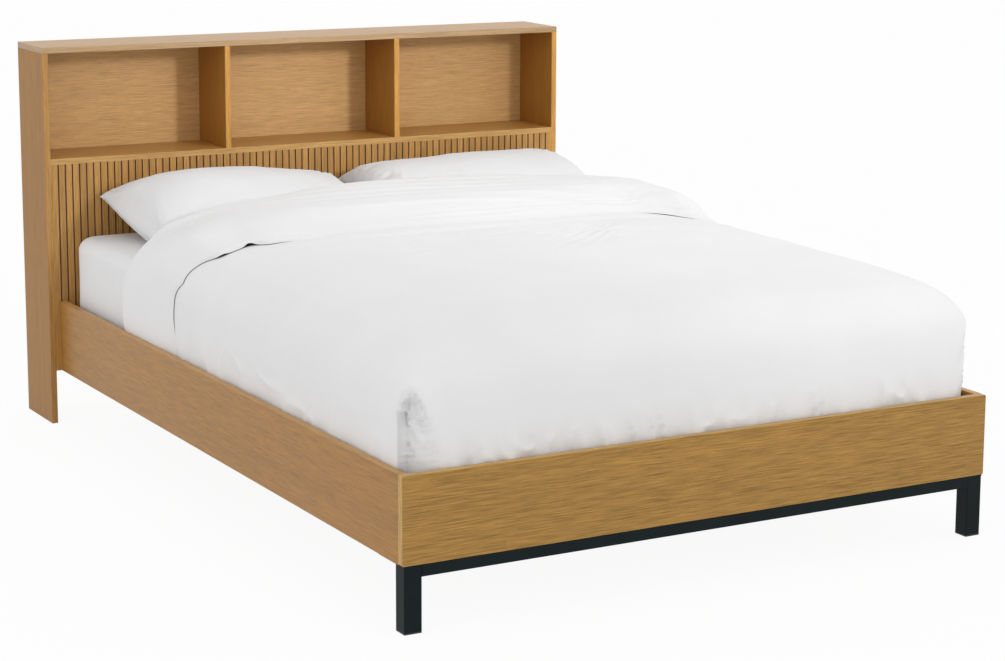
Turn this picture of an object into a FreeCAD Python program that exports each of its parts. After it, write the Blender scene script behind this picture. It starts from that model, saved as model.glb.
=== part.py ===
"""Bookcase headboard bed with its mattress and bedding, as separate pieces.

Frame of the model, in millimetres: +X to the right seen from the foot of the bed, +Y towards
the headboard, +Z up. The origin is on the floor, at the centre of the bed's plan.
"""
import FreeCAD, Part
import math
import os
import Sketcher
from FreeCAD import Placement, Rotation, Vector

os.makedirs("parts", exist_ok=True)
doc = FreeCAD.newDocument("BookcaseBed")

X_AXIS = Vector(1, 0, 0)
Y_AXIS = Vector(0, 1, 0)
Z_AXIS = Vector(0, 0, 1)
SIDES = (("left", -1), ("right", 1))

# ---------------------------------------------------------------- driving dimensions
SIZES = (
    # mattress, which sets the bed's width and length
    ("mattress_width", 1340, "nominal 1350"),
    ("mattress_length", 1885, "nominal 1900"),
    ("mattress_height", 200, "mattress alone"),
    ("mattress_corner", 60, "corner radius in plan"),
    ("mattress_edge", 28, "rounding of the top and bottom edges"),
    ("mattress_head_gap", 3, "fitted sheet to the headboard"),
    ("mattress_foot_gap", 13.6, "fitted sheet to the footboard"),
    ("mattress_side_gap", 18.5, "mattress to each side rail"),
    ("mattress_sink", 39, "rail tops to the slats' tops"),
    ("sheet_thickness", 1.2, "fitted sheet"),
    ("sheet_turn_under", 110, "sheet tucked under the mattress"),
    # bookcase headboard
    ("headboard_overhang", 28.5, "headboard past the side rails, each side"),
    ("headboard_height", 955, "floor to the top face"),
    ("headboard_depth", 185, "front edge to back edge"),
    ("panel_thickness", 15, "veneered board of the bookcase"),
    ("back_panel_thickness", 6, "thin board behind the compartments"),
    ("shelf_top", 676, "floor to the compartments' floor"),
    ("grooved_slats", 78, "flutes across the lower front panel"),
    ("groove_width", 3.5, "width of one groove"),
    ("groove_depth", 3, "depth of one groove"),
    ("stretcher_height", 100, "rear stretcher between the side panels"),
    ("bolt_rail_height", 120, "batten behind the grooved panel"),
    ("bolt_rail_thickness", 18, "batten behind the grooved panel"),
    ("cleat_size", 25, "square corner cleat behind the grooved panel"),
    ("edge_ease", 0.8, "eased arris of every board"),
    # bed frame
    ("frame_board", 18, "thickness of the footboard and side rails"),
    ("rail_top", 314, "floor to the top of the rails and footboard"),
    ("rail_height", 178, "depth of the rails and footboard"),
    ("footboard_corner", 4, "corner radius of the footboard's front view"),
    # mattress support
    ("slat_count", 12, "slats across the bed"),
    ("slat_width", 80, "one slat"),
    ("slat_thickness", 12, "one slat"),
    ("slat_round", 2, "rounded long edges of a slat"),
    ("slat_end_gap", 2.5, "slat end to the rail"),
    ("ledger_size", 25, "square batten that carries the slat ends"),
    ("beam_width", 44, "centre beam"),
    ("beam_height", 60, "centre beam"),
    ("hanger_gauge", 2.5, "steel of the beam hangers"),
    ("hanger_reach", 40, "cradle length along the beam"),
    ("hanger_cheek", 40, "cradle height"),
    ("hanger_flange", 30, "flange each side of the cradle"),
    ("post_size", 44, "square centre post"),
    ("glide_height", 5, "nylon glide under the centre post"),
    ("glide_radius", 14, "nylon glide under the centre post"),
    ("glide_pin_length", 14, "pin of the glide in the post"),
    ("stud_length", 60, "stud that joins the post to the beam"),
    # corner fixings
    ("bracket_gauge", 3, "steel angle at the head corners"),
    ("bracket_arm", 48, "arm of the steel angle"),
    ("bracket_height", 80, "height of the steel angle"),
    ("bracket_rise", 14, "rail underside to the steel angle"),
    ("bracket_hole_inset", 20, "bracket end to its nearest hole"),
    ("block_width", 60, "corner block at the foot, across the bed"),
    ("block_length", 95, "corner block at the foot, along the bed"),
    # black metal base under the footboard
    ("leg_size", 38, "square tube of the legs"),
    ("leg_wall", 1.5, "wall of the tubes"),
    ("leg_round", 2.5, "outer corner radius of the tubes"),
    ("leg_inset", 4, "footboard end to the leg"),
    ("leg_plate_gauge", 3, "steel plate on top of each leg"),
    ("leg_plate_length", 110, "plate along the rail"),
    ("crossbar_size", 25, "square tube between the legs"),
    ("cap_flange", 3, "visible thickness of the leg's end cap"),
    ("cap_plug", 15, "depth of the end cap inside the tube"),
    ("cap_clearance", 0.2, "end cap to the tube's inside"),
    # fasteners
    ("bolt_radius", 4, "machine bolts and the post's stud"),
    ("bolt_head_radius", 7, "pan head"),
    ("bolt_head_height", 4, "pan head"),
    ("nut_radius", 7.5, "hexagon nut, centre to corner"),
    ("nut_height", 6.5, "hexagon nut"),
    ("bolt_tail", 2, "thread past the nut"),
    ("leg_bolt_length", 40, "bolts from the leg plate into the block"),
    ("screw_radius", 2, "countersunk wood screws"),
    ("screw_head_radius", 4, "countersunk wood screws"),
    ("screw_head_height", 2, "countersunk wood screws"),
    ("short_screw_length", 14, "screws in brackets, hangers and back panel"),
    ("long_screw_length", 35, "screws in slats, ledgers and cleats"),
    ("dowel_radius", 4, "beech dowel"),
    ("dowel_short_end", 12, "dowel in the thin board's face"),
    ("dowel_long_end", 18, "dowel in the other board's edge"),
    ("cam_radius", 7.5, "cam disc under the shelf"),
    ("cam_depth", 12, "cam disc under the shelf"),
    ("cam_setback", 24, "shelf end to the cam's axis"),
    ("cam_bolt_radius", 3, "cam bolt"),
    ("cam_bolt_bite", 10, "cam bolt in the side panel"),
    ("hole_clearance", 0.15, "all round a fastener"),
    # pillows and duvet
    ("pillow_pair_margin", 30, "mattress width left over beside both pillows"),
    ("pillow_depth", 410, "one pillow, tip to tip"),
    ("pillow_waist", 12, "how far the long sides draw in"),
    ("pillow_crown", 105, "seam to the top at the middle"),
    ("pillow_belly", 50, "seam to the underside at the middle"),
    ("pillow_tip", 3, "half thickness at the outer short ends"),
    ("pillow_press", 0.62, "share of the fullness left where the pillows press on each other"),
    ("pillow_tilt", 14, "lean against the headboard, degrees"),
    ("pillow_rise", 50, "mattress to the middle of the pillow's seam"),
    ("pillow_back_gap", 14, "pillow's back tips to the headboard"),
    ("pillow_gap", 6, "between the two pillows"),
    ("pillow_shift", 43, "pair of pillows off centre, to the right"),
    ("rest_gap", 0.5, "bedding to what it rests on"),
    ("duvet_rail_gap", 1.5, "duvet to the rails and footboard"),
    ("duvet_tuck", 24, "how far the duvet reaches below the rail tops"),
    ("duvet_shoulder", 60, "radius over the mattress edge"),
    ("duvet_height", 84, "mattress to the duvet's shoulder"),
    ("duvet_crown", 28, "rise from the shoulder to the middle"),
    ("fold_height", 38, "extra height where the top is folded back"),
    ("fold_start", 388, "headboard to the rolled edge"),
    ("fold_width", 492, "rolled edge to the turned-back hem"),
    ("foot_drop", 132, "fall of the duvet at the foot end"),
)

# places worked out from the sizes
LAYOUT = (
    ("inner_width", "Sizes.mattress_width + 2 * Sizes.mattress_side_gap"),
    ("inner_length", "Sizes.mattress_length + 2 * Sizes.sheet_thickness"
                     " + Sizes.mattress_head_gap + Sizes.mattress_foot_gap"),
    ("frame_width", "inner_width + 2 * Sizes.frame_board"),
    ("headboard_width", "frame_width + 2 * Sizes.headboard_overhang"),
    ("slat_top", "Sizes.rail_top - Sizes.mattress_sink"),
    ("length_overall", "Sizes.headboard_depth + inner_length + Sizes.frame_board"),
    ("foot_front", "-length_overall / 2"),
    ("foot_inner", "foot_front + Sizes.frame_board"),
    ("head_face", "foot_inner + inner_length"),
    ("head_back", "head_face + Sizes.headboard_depth"),
    ("rail_outer", "frame_width / 2"),
    ("rail_inner", "rail_outer - Sizes.frame_board"),
    ("rail_under", "Sizes.rail_top - Sizes.rail_height"),
    ("side_inner", "headboard_width / 2 - Sizes.panel_thickness"),
    ("side_height", "Sizes.headboard_height - Sizes.panel_thickness"),
    ("shelf_under", "Sizes.shelf_top - Sizes.panel_thickness"),
    ("shelf_depth", "Sizes.headboard_depth - Sizes.back_panel_thickness"),
    ("panel_back", "head_face + Sizes.panel_thickness"),
    ("divider_x", "(2 * side_inner - 2 * Sizes.panel_thickness) / 6 + Sizes.panel_thickness / 2"),
    ("groove_pitch", "2 * side_inner / Sizes.grooved_slats"),
    ("ledger_top", "slat_top - Sizes.slat_thickness"),
    ("ledger_under", "ledger_top - Sizes.ledger_size"),
    ("beam_under", "ledger_top - Sizes.beam_height"),
    ("slat_gap", "(inner_length - Sizes.slat_count * Sizes.slat_width) / (Sizes.slat_count + 1)"),
    ("leg_outer", "rail_outer - Sizes.leg_inset"),
    ("leg_inner", "leg_outer - Sizes.leg_size"),
    ("leg_top", "rail_under - Sizes.leg_plate_gauge"),
    ("bracket_under", "rail_under + Sizes.bracket_rise"),
    ("mattress_under", "slat_top + Sizes.sheet_thickness"),
    ("bedding_top", "mattress_under + Sizes.mattress_height + Sizes.sheet_thickness"),
    ("pillow_width", "(Sizes.mattress_width - Sizes.pillow_pair_margin - Sizes.pillow_gap) / 2"),
)


def make_sheet(name, rows):
    """A spreadsheet with a note, a value and an alias in each row."""
    sheet = doc.addObject("Spreadsheet::Sheet", name)
    for number, (alias, value, note) in enumerate(rows, start=1):
        sheet.set(f"A{number}", note)
        sheet.set(f"B{number}", str(value))
        sheet.setAlias(f"B{number}", alias)
    return sheet


sizes = make_sheet("Sizes", SIZES)
layout = make_sheet("Layout", [(alias, "=" + formula, alias) for alias, formula in LAYOUT])
doc.recompute()


def size(alias):
    """The number behind a size or a place."""
    sheet = sizes if any(alias == row[0] for row in SIZES) else layout
    return float(sheet.get(alias))


# ---------------------------------------------------------------- small helpers
def bind(thing, **formulas):
    """Bind properties to the sheets; a double underscore stands for a dot."""
    for name, formula in formulas.items():
        thing.setExpression(name.replace("__", "."), formula)


def place(thing, corner):
    """Put a piece's own origin at a corner given by three formulas."""
    for axis, formula in zip("xyz", corner):
        thing.setExpression(f"Placement.Base.{axis}", formula)


def block(label, corner, extent):
    """A square-edged block from its low corner and its three sizes."""
    shape = doc.addObject("Part::Box", "Block")
    shape.Label = label
    bind(shape, Length=extent[0], Width=extent[1], Height=extent[2])
    place(shape, corner)
    return shape


def eased(label, base, radius, chosen=None):
    """The base with its edges, or the chosen ones, rounded."""
    doc.recompute()
    numbered = list(enumerate(base.Shape.Edges, start=1))
    rounded = doc.addObject("Part::Fillet", "Eased")
    rounded.Label = label
    rounded.Base = base
    rounded.Edges = [(number, radius, radius) for number, edge in numbered
                     if chosen is None or chosen(edge)]
    return rounded


def board(label, corner, extent):
    """A veneered board with eased edges."""
    return eased(label, block(label + "_blank", corner, extent), size("edge_ease"))


def runs_along(axis):
    """A test for straight edges that run along an axis."""
    return lambda edge: abs(edge.tangentAt(edge.FirstParameter).dot(axis)) > 0.999


holes = {}
groups = {}


def drill(piece, cutter):
    """Remember a hole that a piece needs."""
    holes.setdefault(piece, []).append(cutter)


def finish_holes(label, blank):
    """The blank with every hole that was asked of it, under its final name."""
    if label not in holes:
        blank.Label = label
        return blank
    blank.Label = label + "_undrilled"
    cutter = doc.addObject("Part::Feature", "Holes")
    cutter.Label = label + "_holes"
    cutter.Shape = Part.makeCompound(holes[label])
    cut = doc.addObject("Part::Cut", "Drilled")
    cut.Label = label
    cut.Base = blank
    cut.Tool = cutter
    return cut


def screw(group, length, start, direction, pieces):
    """A countersunk wood screw, flush at its start, and its hole in each piece."""
    shank = size("screw_radius")
    head = size("screw_head_radius")
    sink = size("screw_head_height")
    room = size("hole_clearance")
    body = Part.makeCylinder(shank, length, start, direction)
    groups.setdefault(group, []).append(body.fuse(Part.makeCone(head, shank, sink, start, direction)))
    before = start - direction * room
    bore = Part.makeCylinder(shank + room, length + 2 * room, before, direction)
    cone = Part.makeCone(head + 2 * room, shank + room, sink + 2 * room, before, direction)
    for piece in pieces:
        drill(piece, bore.fuse(cone))


def bolt(group, length, start, direction, pieces):
    """A pan-headed bolt whose head stands on its start, and its hole in each piece."""
    radius = size("bolt_radius")
    room = size("hole_clearance")
    head_height = size("bolt_head_height")
    shank = Part.makeCylinder(radius, length, start, direction)
    head = Part.makeCylinder(size("bolt_head_radius"), head_height, start - direction * head_height, direction)
    groups.setdefault(group, []).append(shank.fuse(head))
    bore = Part.makeCylinder(radius + room, length + room, start, direction)
    for piece in pieces:
        drill(piece, bore)


def nut(group, start, direction):
    """A hexagon nut that stands on its start."""
    reach = size("nut_radius")
    corners = [Vector(reach * math.cos(math.radians(turn)), reach * math.sin(math.radians(turn)), 0)
               for turn in range(0, 361, 60)]
    prism = Part.Face(Part.makePolygon(corners)).extrude(Z_AXIS * size("nut_height"))
    prism = prism.cut(Part.makeCylinder(size("bolt_radius") + size("hole_clearance"), size("nut_height")))
    prism.Placement = Placement(start, Rotation(Z_AXIS, direction))
    groups.setdefault(group, []).append(prism)


def dowel(joint, into_face, face_piece, edge_piece):
    """A dowel across a joint: short in one board's face, long in the other board's edge."""
    radius = size("dowel_radius")
    room = size("hole_clearance")
    short_end = size("dowel_short_end")
    long_end = size("dowel_long_end")
    start = joint - into_face * long_end
    groups.setdefault("wood_dowels", []).append(
        Part.makeCylinder(radius, short_end + long_end, start, into_face))
    bore = Part.makeCylinder(radius + room, short_end + long_end + 2 * room, start - into_face * room, into_face)
    drill(face_piece, bore)
    drill(edge_piece, bore)


# ---------------------------------------------------------------- fasteners and their holes
def slat_centre(number):
    """Where a slat's middle line crosses the bed, counted from the foot."""
    step = size("slat_width") + size("slat_gap")
    return size("foot_inner") + size("slat_gap") + size("slat_width") / 2 + (number - 1) * step


def slat_name(number):
    return f"slat_{number:02d}"


SLAT_NUMBERS = range(1, int(size("slat_count")) + 1)


def fix_headboard():
    """Dowels, cams and screws of the bookcase."""
    inner = size("side_inner")
    half_board = size("panel_thickness") / 2
    depth = size("shelf_depth")
    face = size("head_face")
    top_joint = size("side_height")
    for side, sign in SIDES:
        for share in (0.15, 0.5, 0.85):
            joint = Vector(sign * (inner + half_board), face + share * size("headboard_depth"), top_joint)
            dowel(joint, Z_AXIS, "headboard_top", f"headboard_side_{side}")
        divider = f"headboard_divider_{side}"
        for share in (0.2, 0.8):
            over = Vector(sign * size("divider_x"), face + share * depth, top_joint)
            dowel(over, Z_AXIS, "headboard_top", divider)
            under = Vector(sign * size("divider_x"), face + share * depth, size("shelf_top"))
            dowel(under, -Z_AXIS, "headboard_shelf", divider)
            fix_cam(side, sign, face + share * depth)
        for share in (0.25, 0.75):
            low = size("rail_under")
            rail_y = size("panel_back") + size("bolt_rail_thickness") / 2
            joint = Vector(sign * inner, rail_y, low + share * size("bolt_rail_height"))
            dowel(joint, X_AXIS * sign, f"headboard_side_{side}", "headboard_bolt_rail")
            back_y = size("head_back") - half_board
            joint = Vector(sign * inner, back_y, low + share * size("stretcher_height"))
            dowel(joint, X_AXIS * sign, f"headboard_side_{side}", "headboard_stretcher")
        cleat_y = size("panel_back") + size("cleat_size") / 2
        cleat_low = size("rail_under") + size("bolt_rail_height")
        cleat_run = size("shelf_under") - cleat_low
        for share in (0.15, 0.5, 0.85):
            start = Vector(sign * (inner - size("cleat_size")), cleat_y, cleat_low + share * cleat_run)
            screw("long_screws", size("long_screw_length"), start, X_AXIS * sign,
                  (f"headboard_cleat_{side}", f"headboard_side_{side}"))
        for share in (0.25, 0.75):
            rise = size("shelf_top") + share * (top_joint - size("shelf_top"))
            screw("short_screws", size("short_screw_length"),
                  Vector(sign * size("divider_x"), size("head_back"), rise), -Y_AXIS,
                  ("headboard_back_panel", divider))
    for share in (-0.9, -0.45, 0, 0.45, 0.9):
        start = Vector(share * inner, size("head_back"), size("shelf_under") + half_board)
        screw("short_screws", size("short_screw_length"), start, -Y_AXIS,
              ("headboard_back_panel", "headboard_shelf"))


def fix_cam(side, sign, along):
    """A cam disc in the shelf's underside and the bolt that it pulls in from the side panel."""
    room = size("hole_clearance")
    axis_x = sign * (size("side_inner") - size("cam_setback"))
    disc_at = Vector(axis_x, along, size("shelf_under"))
    disc = Part.makeCylinder(size("cam_radius"), size("cam_depth"), disc_at, Z_AXIS)
    groups.setdefault("headboard_cams", []).append(disc)
    drill("headboard_shelf", Part.makeCylinder(
        size("cam_radius") + room, size("cam_depth") + 2 * room, disc_at - Z_AXIS * room, Z_AXIS))
    radius = size("cam_bolt_radius")
    run = size("cam_bolt_bite") + size("cam_setback") - size("cam_radius") - 2 * room
    start = Vector(sign * (size("side_inner") + size("cam_bolt_bite")), along,
                   size("shelf_under") + size("panel_thickness") / 2)
    groups.setdefault("headboard_cam_bolts", []).append(
        Part.makeCylinder(radius, run, start, -X_AXIS * sign))
    past_rim = size("cam_radius")
    bore = Part.makeCylinder(radius + room, run + past_rim, start + X_AXIS * sign * room, -X_AXIS * sign)
    drill("headboard_shelf", bore)
    drill(f"headboard_side_{side}", bore)


def fix_frame():
    """Bolts, screws and dowels of the rails, slats, blocks and hangers."""
    rail_inner = size("rail_inner")
    ledger = size("ledger_size")
    step = size("slat_width") + size("slat_gap")
    stack = size("bracket_gauge") + size("panel_thickness") + size("bolt_rail_thickness")
    for side, sign in SIDES:
        outward = X_AXIS * sign
        rail = f"side_rail_{side}"
        inset = size("bracket_hole_inset")
        arm_mid = size("bracket_arm") / 2
        for rise in (inset, size("bracket_height") - inset):
            high = size("bracket_under") + rise
            start = Vector(sign * (rail_inner - arm_mid), size("head_face") - size("bracket_gauge"), high)
            bolt("rail_bolts", stack + size("nut_height") + size("bolt_tail"), start, Y_AXIS,
                 (f"corner_bracket_{side}", "headboard_grooved_panel", "headboard_bolt_rail"))
            nut("rail_nuts", start + Y_AXIS * stack, Y_AXIS)
            start = Vector(sign * (rail_inner - size("bracket_gauge")), size("head_face") - arm_mid, high)
            screw("short_screws", size("short_screw_length"), start, outward,
                  (f"corner_bracket_{side}", rail))
        for number in SLAT_NUMBERS:
            start = Vector(sign * (rail_inner - ledger / 2), slat_centre(number), size("slat_top"))
            screw("long_screws", size("long_screw_length"), start, -Z_AXIS,
                  (slat_name(number), f"slat_ledger_{side}"))
            if number % 2 == 0:
                start = Vector(sign * (rail_inner - ledger), slat_centre(number) - step / 2,
                               size("ledger_under") + ledger / 2)
                screw("long_screws", size("long_screw_length"), start, outward,
                      (f"slat_ledger_{side}", rail))
        block_high = size("ledger_under") - size("rail_under")
        behind_leg = size("foot_front") + size("leg_size")
        plate_end = size("foot_front") + size("leg_plate_length")
        between_bolts = (behind_leg + plate_end) / 2
        for share in (0.25, 0.75):
            high = size("rail_under") + share * block_high
            joint = Vector(sign * rail_inner, between_bolts, high)
            dowel(joint, outward, rail, f"corner_block_{side}")
            joint = Vector(sign * (rail_inner - 0.6 * size("block_width")), size("foot_inner"), high)
            dowel(joint, -Y_AXIS, "footboard", f"corner_block_{side}")
        for share in (0.15, 0.5, 0.85):
            joint = Vector(sign * (rail_inner + size("frame_board") / 2), size("foot_inner"),
                           size("rail_under") + share * size("rail_height"))
            dowel(joint, -Y_AXIS, "footboard", rail)
        bolt_x = sign * (rail_inner + size("leg_inner")) / 2
        for share in (0.25, 0.75):
            start = Vector(bolt_x, behind_leg + share * (plate_end - behind_leg), size("leg_top"))
            bolt("leg_plate_bolts", size("leg_bolt_length"), start, Z_AXIS,
                 (f"leg_plate_{side}", f"corner_block_{side}"))
    for hanger, piece, face, inward in (("beam_hanger_head", "headboard_grooved_panel", "head_face", -1),
                                        ("beam_hanger_foot", "footboard", "foot_inner", 1)):
        flange_mid = size("beam_width") / 2 + size("hanger_gauge") + size("hanger_flange") / 2
        for sign in (-1, 1):
            for share in (0.25, 0.75):
                start = Vector(sign * flange_mid, size(face) + inward * size("hanger_gauge"),
                               size("beam_under") + share * size("beam_height"))
                screw("short_screws", size("short_screw_length"), start, -Y_AXIS * inward,
                      (hanger, piece))


def post_centre():
    """Where the centre post stands along the bed."""
    return size("foot_inner") + size("inner_length") / 2


def fix_post():
    """The stud between post and beam, and the glide's pin."""
    room = size("hole_clearance")
    radius = size("bolt_radius")
    low = Vector(0, post_centre(), size("beam_under") - size("stud_length") / 2)
    groups["centre_post_stud"] = [Part.makeCylinder(radius, size("stud_length"), low, Z_AXIS)]
    bore = Part.makeCylinder(radius + room, size("stud_length") + 2 * room, low - Z_AXIS * room, Z_AXIS)
    drill("centre_beam", bore)
    drill("centre_post", bore)
    pin_low = Vector(0, post_centre(), 0)
    disc = Part.makeCylinder(size("glide_radius"), size("glide_height"), pin_low, Z_AXIS)
    pin = Part.makeCylinder(size("screw_radius"), size("glide_height") + size("glide_pin_length"), pin_low, Z_AXIS)
    groups["centre_post_glide"] = [disc.fuse(pin)]
    drill("centre_post", Part.makeCylinder(
        size("screw_radius") + room, size("glide_height") + size("glide_pin_length") + room, pin_low, Z_AXIS))


fix_headboard()
fix_frame()
fix_post()


# ---------------------------------------------------------------- bookcase headboard
def signed(sign, formula, extent):
    """Low corner of a piece that starts at a distance from the middle and runs outwards."""
    return formula if sign > 0 else f"-({formula}) - ({extent})"


def make_headboard():
    """Carcass boards of the bookcase: sides to the floor, the top over them, shelf and dividers between."""
    thick = "Sizes.panel_thickness"
    width = "2 * Layout.side_inner"
    pieces = [finish_holes("headboard_top", board(
        "headboard_top", ("-Layout.headboard_width / 2", "Layout.head_face", "Layout.side_height"),
        ("Layout.headboard_width", "Sizes.headboard_depth", thick)))]
    for side, sign in SIDES:
        pieces.append(finish_holes(f"headboard_side_{side}", board(
            f"headboard_side_{side}", (signed(sign, "Layout.side_inner", thick), "Layout.head_face", "0"),
            (thick, "Sizes.headboard_depth", "Layout.side_height"))))
        pieces.append(finish_holes(f"headboard_divider_{side}", board(
            f"headboard_divider_{side}",
            (signed(sign, f"Layout.divider_x - {thick} / 2", thick), "Layout.head_face", "Sizes.shelf_top"),
            (thick, "Layout.shelf_depth", "Layout.side_height - Sizes.shelf_top"))))
        pieces.append(finish_holes(f"headboard_cleat_{side}", block(
            f"headboard_cleat_{side}",
            (signed(sign, "Layout.side_inner - Sizes.cleat_size", "Sizes.cleat_size"), "Layout.panel_back",
             "Layout.rail_under + Sizes.bolt_rail_height"),
            ("Sizes.cleat_size", "Sizes.cleat_size",
             "Layout.shelf_under - Layout.rail_under - Sizes.bolt_rail_height"))))
    pieces.append(finish_holes("headboard_shelf", board(
        "headboard_shelf", ("-Layout.side_inner", "Layout.head_face", "Layout.shelf_under"),
        (width, "Layout.shelf_depth", thick))))
    pieces.append(finish_holes("headboard_back_panel", block(
        "headboard_back_panel",
        ("-Layout.side_inner", "Layout.head_back - Sizes.back_panel_thickness", "Layout.shelf_under"),
        (width, "Sizes.back_panel_thickness", "Layout.side_height - Layout.shelf_under"))))
    pieces.append(finish_holes("headboard_bolt_rail", block(
        "headboard_bolt_rail", ("-Layout.side_inner", "Layout.panel_back", "Layout.rail_under"),
        (width, "Sizes.bolt_rail_thickness", "Sizes.bolt_rail_height"))))
    pieces.append(finish_holes("headboard_stretcher", board(
        "headboard_stretcher",
        ("-Layout.side_inner", f"Layout.head_back - {thick}", "Layout.rail_under"),
        (width, thick, "Sizes.stretcher_height"))))
    pieces.append(make_grooved_panel())
    return pieces


def origin_plane(body, role):
    """One of a body's own origin planes or axes."""
    return next(item for item in body.Origin.OriginFeatures if item.Role == role)


def rectangle(body, name, plane, left, low, width, height):
    """A sketch of one rectangle on a plane of the body, its four sizes given by formulas."""
    sketch = body.newObject("Sketcher::SketchObject", name)
    sketch.AttachmentSupport = [(origin_plane(body, plane), "")]
    sketch.MapMode = "FlatFace"
    corners = (Vector(10, 10, 0), Vector(20, 10, 0), Vector(20, 20, 0), Vector(10, 20, 0))
    lines = [sketch.addGeometry(Part.LineSegment(corners[i], corners[(i + 1) % 4]), False) for i in range(4)]
    for i in range(4):
        sketch.addConstraint(Sketcher.Constraint("Coincident", lines[i], 2, lines[(i + 1) % 4], 1))
    for line, kind in zip(lines, ("Horizontal", "Vertical", "Horizontal", "Vertical")):
        sketch.addConstraint(Sketcher.Constraint(kind, line))
    placed = (("width", "DistanceX", (lines[0], 1, lines[0], 2), width),
              ("height", "DistanceY", (lines[1], 1, lines[1], 2), height),
              ("left", "DistanceX", (-1, 1, lines[0], 1), left),
              ("low", "DistanceY", (-1, 1, lines[0], 1), low))
    for label, kind, ends, formula in placed:
        number = sketch.addConstraint(Sketcher.Constraint(kind, *ends, 10.0))
        sketch.renameConstraint(number, label)
        sketch.setExpression(f"Constraints.{label}", formula)
    return sketch


def make_grooved_panel():
    """The lower front panel: one board with evenly spaced vertical grooves."""
    body = doc.addObject("PartDesign::Body", "GroovedPanel")
    body.Label = "headboard_grooved_panel"
    outline = rectangle(body, "PanelOutline", "XY_Plane", "0", "0",
                        "2 * Layout.side_inner", "Sizes.panel_thickness")
    pad = body.newObject("PartDesign::Pad", "PanelPad")
    pad.Profile = outline
    bind(pad, Length="Layout.shelf_under - Layout.rail_under")
    doc.recompute()
    slot = rectangle(body, "GrooveOutline", "XY_Plane", "Layout.groove_pitch - Sizes.groove_width / 2",
                     "0 - 1", "Sizes.groove_width", "Sizes.groove_depth + 1")
    doc.recompute()
    groove = body.newObject("PartDesign::Pocket", "Groove")
    groove.Profile = slot
    groove.Type = "ThroughAll"
    groove.Reversed = True
    doc.recompute()
    whole = pad.Shape.Volume
    assert groove.Shape.Volume < whole, "the groove cuts nothing"
    pattern = body.newObject("PartDesign::LinearPattern", "Grooves")
    pattern.Originals = [groove]
    pattern.Direction = (slot, ["H_Axis"])
    pattern.Mode = "Spacing"
    bind(pattern, Offset="Layout.groove_pitch", Occurrences="Sizes.grooved_slats - 1")
    body.Tip = pattern
    place(body, ("-Layout.side_inner", "Layout.head_face", "Layout.rail_under"))
    doc.recompute()
    return finish_holes("headboard_grooved_panel", body)


# ---------------------------------------------------------------- bed frame
def make_frame():
    """Side rails, footboard, ledgers and the corner pieces."""
    thick = "Sizes.frame_board"
    length = "Layout.inner_length"
    pieces = []
    for side, sign in SIDES:
        pieces.append(finish_holes(f"side_rail_{side}", board(
            f"side_rail_{side}", (signed(sign, "Layout.rail_inner", thick), "Layout.foot_inner", "Layout.rail_under"),
            (thick, length, "Sizes.rail_height"))))
        pieces.append(finish_holes(f"slat_ledger_{side}", block(
            f"slat_ledger_{side}",
            (signed(sign, "Layout.rail_inner - Sizes.ledger_size", "Sizes.ledger_size"),
             "Layout.foot_inner", "Layout.ledger_under"),
            ("Sizes.ledger_size", length, "Sizes.ledger_size"))))
        pieces.append(finish_holes(f"corner_block_{side}", block(
            f"corner_block_{side}",
            (signed(sign, "Layout.rail_inner - Sizes.block_width", "Sizes.block_width"),
             "Layout.foot_inner", "Layout.rail_under"),
            ("Sizes.block_width", "Sizes.block_length", "Layout.ledger_under - Layout.rail_under"))))
        pieces.append(make_bracket(side, sign))
    panel = block("footboard_blank", ("-Layout.rail_outer", "Layout.foot_front", "Layout.rail_under"),
                  ("Layout.frame_width", thick, "Sizes.rail_height"))
    cornered = eased("footboard_cornered", panel, size("footboard_corner"), runs_along(Y_AXIS))
    pieces.append(finish_holes("footboard", eased(
        "footboard", cornered, size("edge_ease"), lambda edge: not runs_along(Y_AXIS)(edge))))
    return pieces


def make_bracket(side, sign):
    """A steel angle in the corner between the side rail and the headboard."""
    gauge = "Sizes.bracket_gauge"
    arm = "Sizes.bracket_arm"
    along = block(f"corner_bracket_{side}_along",
                  (signed(sign, f"Layout.rail_inner - {gauge}", gauge), f"Layout.head_face - {arm}",
                   "Layout.bracket_under"), (gauge, arm, "Sizes.bracket_height"))
    across = block(f"corner_bracket_{side}_across",
                   (signed(sign, f"Layout.rail_inner - {arm}", arm), f"Layout.head_face - {gauge}",
                    "Layout.bracket_under"), (arm, gauge, "Sizes.bracket_height"))
    return finish_holes(f"corner_bracket_{side}", fused(f"corner_bracket_{side}", (along, across)))


def fused(label, shapes):
    """Several blocks that are one piece of material."""
    whole = doc.addObject("Part::MultiFuse", "Fused")
    whole.Label = label
    whole.Shapes = list(shapes)
    whole.Refine = True
    return whole


def make_slat(number):
    """A flat pine slat with rounded long edges."""
    body = doc.addObject("PartDesign::Body", "Slat")
    body.Label = slat_name(number)
    outline = rectangle(body, "SlatOutline", "XZ_Plane", "-(Layout.rail_inner - Sizes.slat_end_gap)",
                        "0", "2 * (Layout.rail_inner - Sizes.slat_end_gap)", "Sizes.slat_thickness")
    pad = body.newObject("PartDesign::Pad", "SlatPad")
    pad.Profile = outline
    pad.Midplane = True
    bind(pad, Length="Sizes.slat_width")
    doc.recompute()
    long_edges = [f"Edge{index}" for index, edge in enumerate(pad.Shape.Edges, start=1)
                  if runs_along(X_AXIS)(edge)]
    rounding = body.newObject("PartDesign::Fillet", "SlatRound")
    rounding.Base = (pad, long_edges)
    bind(rounding, Radius="Sizes.slat_round")
    body.Tip = rounding
    step = "(Sizes.slat_width + Layout.slat_gap)"
    place(body, ("0", f"Layout.foot_inner + Layout.slat_gap + Sizes.slat_width / 2 + {number - 1} * {step}",
                 "Layout.ledger_top"))
    return finish_holes(slat_name(number), body)


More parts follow.
